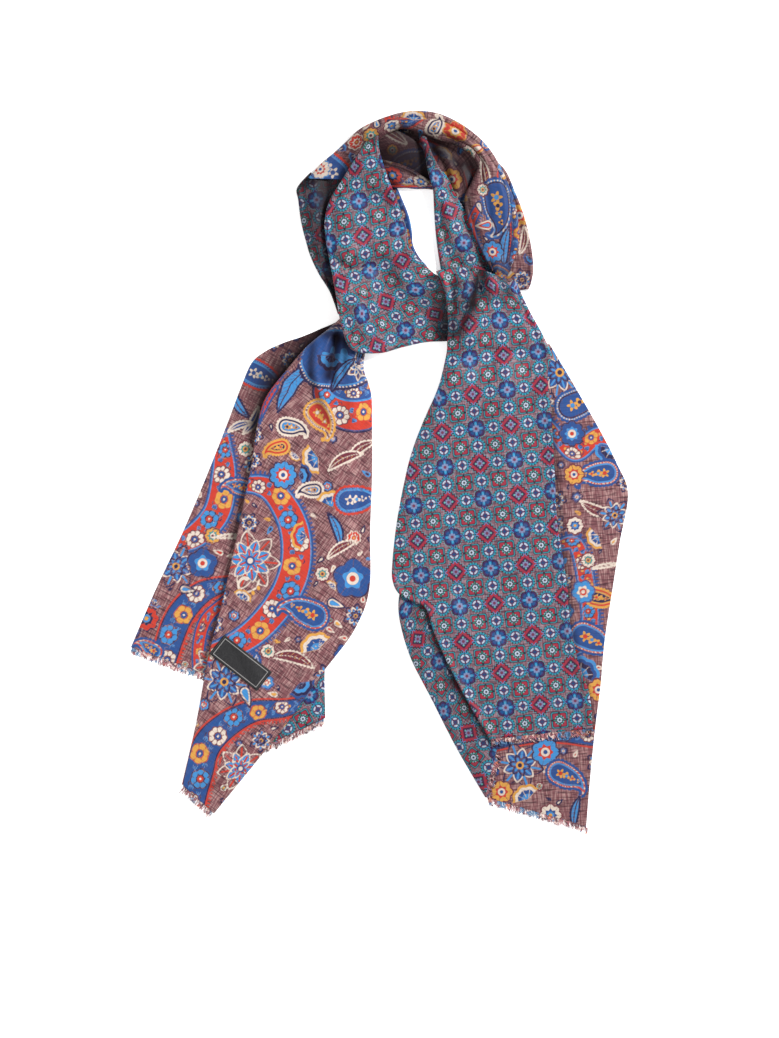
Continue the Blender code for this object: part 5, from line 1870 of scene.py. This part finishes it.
def labelMaterial():
    # damask-woven black polyester with a thin pale frame, and nothing written on it
    made, tree, shader = newMaterial("labelWeave")
    places = add(tree, "ShaderNodeUVMap", uv_map="cloth").outputs[0]
    parts = add(tree, "ShaderNodeSeparateXYZ", {"Vector": places})
    u, v = Signal(tree, parts.outputs[0]) * 1000, Signal(tree, parts.outputs[1]) * 1000
    frameAway = abs((abs(u) - label["frameX"]).over(abs(v) - label["frameY"])) - 0.28
    rows = (v * (2 * math.pi / 0.42)).wave() * (u * (2 * math.pi / 0.5)).wave()
    shade = mixed(tree, ramped(rows, -1, 1), linear("#0b0b0d"), linear("#1d1c20"))
    shade = mixed(tree, frameAway.mask(0.2) * 0.75, shade, linear("#b9b6b4"))
    stitches = (abs(abs(u) - label["stitches"]) - 0.3).over(abs(v.repeated(2.2)) - 0.75)
    shade = mixed(tree, stitches.mask(0.2) * 0.8, shade, linear("#2c2a2e"))
    bump = add(tree, "ShaderNodeBump", {"Height": rows, "Strength": 0.4, "Distance": 0.0001})
    tree.links.new(shade, shader.inputs["Base Color"])
    tree.links.new(bump.outputs[0], shader.inputs["Normal"])
    setShader(shader, {"Roughness": 0.5, "Specular IOR Level": 0.4})
    return made


materials = {
    "paisley": paisleyMaterial(),
    "foulard": foulardMaterial(),
    "thread": threadMaterial(),
    "label": labelMaterial(),
}
threads = strandTree()
ground = Ground()


def swirled(places, pivot, low, high):
    # the grain turns slowly from one angle to another on the way down
    part = np.clip((high[0] - places[..., 1]) / (high[0] - low[0]), 0, 1)
    angle = np.radians(high[1] + (low[1] - high[1]) * part * part * (3 - 2 * part))
    x, y = places[..., 0] - pivot[0], places[..., 1] - pivot[1]
    turned = x * np.cos(angle) + y * np.sin(angle), y * np.cos(angle) - x * np.sin(angle)
    return np.stack(turned, -1)


def addStretch(name, node, laid, look, held="laid", restsOn=()):
    if "motifs" in look:
        look["print"] = laid["places"], printFor(laid["places"], look["motifs"], look["seed"])
    weave = laid["strip"] if look.get("curved") else laid["places"]
    if name in swirls:
        weave = swirled(weave, *swirls[name])
    # painted shade for this stretch, from its whole-stretch value and the painted shadows
    look["paintedShade"] = paintedShadeMap(laid["grid"], paintedShadePerStretch.get(name, 0), paintedShadows.get(name, ()))
    made = addCloth(name, laid["grid"], weave, look)
    finished.append((made, node, laid["grid"], held, restsOn))


# pivot, then the height and the angle where the turn ends and where it starts
swirls = {
    "neckFrontBand": ((-5, 200), (135, 31), (262, 9)),
}
finished = []
print("laying the left tail")
lower, upper, leftHems = layLeftTail(ground)
look = {"up": "paisley", "motifs": "leftBack", "seed": 3, "otherStep": 2, "grain": -27}
addStretch("leftTailBack", "left_tail", lower, look, "folded")
look = {"up": "paisley", "motifs": "leftFront", "seed": 5, "otherStep": 2, "grain": -36}
addStretch("leftTailFront", "left_tail", upper, look, "folded", ("leftTailBack",))
print("laying the right tail")
back, rightHems = layRightBack(ground)
look = {"up": "paisley", "motifs": "rightBack", "seed": 9, "otherStep": 3, "grain": 5}
addStretch("rightTailBack", "right_tail_back", back, look, "folded")

# the knot and the layer below it that shows are one cloth, from the fringed end up
tailAndKnotRows = rightFrontRows[:14] + knotRows[::-1]
# name, nodes, rows, which sides are folded under, how soft, creases, which print is up and its
# motifs, the angle of the grain, what it rests on
stretches = (
    ("neckLeftUnder", "neck_left_under", leftUnderRows, (True, False), 5, leftUnderCreases,
     "foulard", None, 12, ()),
    ("neckOuterRight", "neck_outer_right", outerRightRows, (False, True), 5, (),
     "paisley", "outer", 0, ()),
    ("neckFrontUnder", "neck_front_under", frontUnderRows, (False, True), 5, (),
     "paisley", "inner", 0, ()),
    ("neckInner", "neck_inner", innerRows, (False, False), 5, innerCreases,
     "paisley", "inner", 0, ()),
    ("neckFlap", "neck_flap", flapRows, (False, False), 5, (),
     "paisley", "flap", 0, ("neckInner",)),
    ("neckInnerFold", "neck_inner_fold", innerFoldRows, (True, True), 3, (),
     "paisley", "innerFold", 0, ("neckInner",)),
    ("neckRightStrip", "neck_right_strip", rightStripRows, (True, False), 5, stripCreases,
     "foulard", None, 24, ("neckInner",)),
    ("neckArch", "neck_arch", archRows, (True, True), 6, archCreases,
     "paisley", "arch", 0, ("neckInner",)),
    ("neckFrontBand", "neck_front_band", frontBandRows, (True, True), 8, frontBandCreases,
     "foulard", None, 0, ("neckArch",)),
    ("knotFront", ("knot", "right_tail_front"), tailAndKnotRows, (True, True), 7,
     knotCreases + rightTailCreases, "foulard", None, 6, ("neckFrontBand", "rightTailBack")),
)
for name, node, rows, folded, softly, creases, up, motifName, grain, restsOn in stretches:
    step = cloth["plainStep"] if up == "foulard" else cloth["paintedStep"]
    laid = ribbon(ground, rows, folded, softly, step, creases)
    look = {"up": up, "otherStep": 3 if up == "paisley" else 2, "grain": grain}
    if motifName:
        look["motifs"], look["seed"], look["curved"] = motifName, len(name), True
    if name == "knotFront":
        rightHems["front"] = (laid["grid"][:2], ground.felt)
    addStretch(name, node, laid, look, "laid", restsOn)

print("threads and label")
# name, node, hem, from where to where along it, and the piece that carries it
ends = (
    ("fringeLeftBack", "fringe_left_back", leftHems["back"], (0, 0.44), "leftTailBack"),
    ("fringeLeftMiddle", "fringe_left_middle", leftHems["middle"], (0, 0.55), "leftTailBack"),
    ("fringeLeftFront", "fringe_left_front", leftHems["front"], (0, 1), "leftTailFront"),
    ("fringeRightBack", "fringe_right_back", rightHems["back"], (0, 1), "rightTailBack"),
    ("fringeRightPleat", "fringe_right_pleat", rightHems["pleat"], (0, 0.34), "rightTailBack"),
    ("fringeRightFront", "fringe_right_front", rightHems["front"], (0, 1), "knotFront"),
)
onIt = {}
for seed, (name, node, hem, shown, carrier) in enumerate(ends):
    piece = addFringe(name, ground, hem, shown, seed)
    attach(piece, "root")
    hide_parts(node)
    onIt.setdefault(carrier, []).append(piece)
labelPiece = addLabel(upper["grid"])
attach(labelPiece, "root")
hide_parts("label")
onIt.setdefault("leftTailFront", []).append(labelPiece)

for made, node, grid, held, restsOn in finished:
    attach(made, "root")
    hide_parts(*([node] if isinstance(node, str) else node))
    size, area = cut(grid)
    print(f"{made.name}: flat {size[0] * 1000:.0f} x {size[1] * 1000:.0f} mm")

# metres and watts; the camera looks straight down and sees this much of the height
studio = {
    "floorReach": 3,
    "floorBelow": 0.0004,
    "sky": 0.38,
    "key": ((1.05, 0.85, 1.2), (0, 0, 0), 0.5, 40),
    "fill": ((-0.8, -0.5, 0.95), (-0.1, -0.1, 0), 0.9, 6),
    "camera": (0.0101, -0.0448, 2.0),
    "seen": 1.0172,
}
reach = studio["floorReach"]
floorMesh = bpy.data.meshes.new("floor")
corners = [(-reach, -reach, 0), (reach, -reach, 0), (reach, reach, 0), (-reach, reach, 0)]
floorMesh.from_pydata(corners, [], [(0, 1, 2, 3)])
floor = bpy.data.objects.new("floor", floorMesh)
bpy.context.scene.collection.objects.link(floor)
floor.location = (0, 0, -studio["floorBelow"])
# matt white paper, bright enough to leave only a faint shadow
pale, tree, shader = newMaterial("paperWhite")
setShader(shader, {
    "Base Color": linear("#fbfbfb"), "Emission Color": (1, 1, 1, 1), "Emission Strength": 0.55,
    "Roughness": 0.9, "Specular IOR Level": 0.0,
})
floorMesh.materials.append(pale)

world = bpy.data.worlds.new("studio")
world.use_nodes = True
bpy.context.scene.world = world
sky = world.node_tree.nodes["Background"]
sky.inputs["Color"].default_value = (1, 1, 1, 1)
sky.inputs["Strength"].default_value = studio["sky"]


def addLight(name, location, aim, size, power):
    data = bpy.data.lights.new(name, "AREA")
    data.shape, data.size, data.energy = "DISK", size, power
    made = bpy.data.objects.new(name, data)
    bpy.context.scene.collection.objects.link(made)
    made.location = location
    made.rotation_euler = (Vector(aim) - Vector(location)).to_track_quat("-Z", "Y").to_euler()


addLight("keyLight", *studio["key"])
addLight("fillLight", *studio["fill"])

cameraData = bpy.data.cameras.new("camera")
cameraData.type = "ORTHO"
cameraData.sensor_fit = "VERTICAL"
cameraData.ortho_scale = studio["seen"]
camera = bpy.data.objects.new("camera", cameraData)
bpy.context.scene.collection.objects.link(camera)
camera.location = studio["camera"]
cameraData.clip_start, cameraData.clip_end = 0.1, 10
bpy.context.scene.camera = camera
bpy.context.scene.view_settings.view_transform = "Standard"
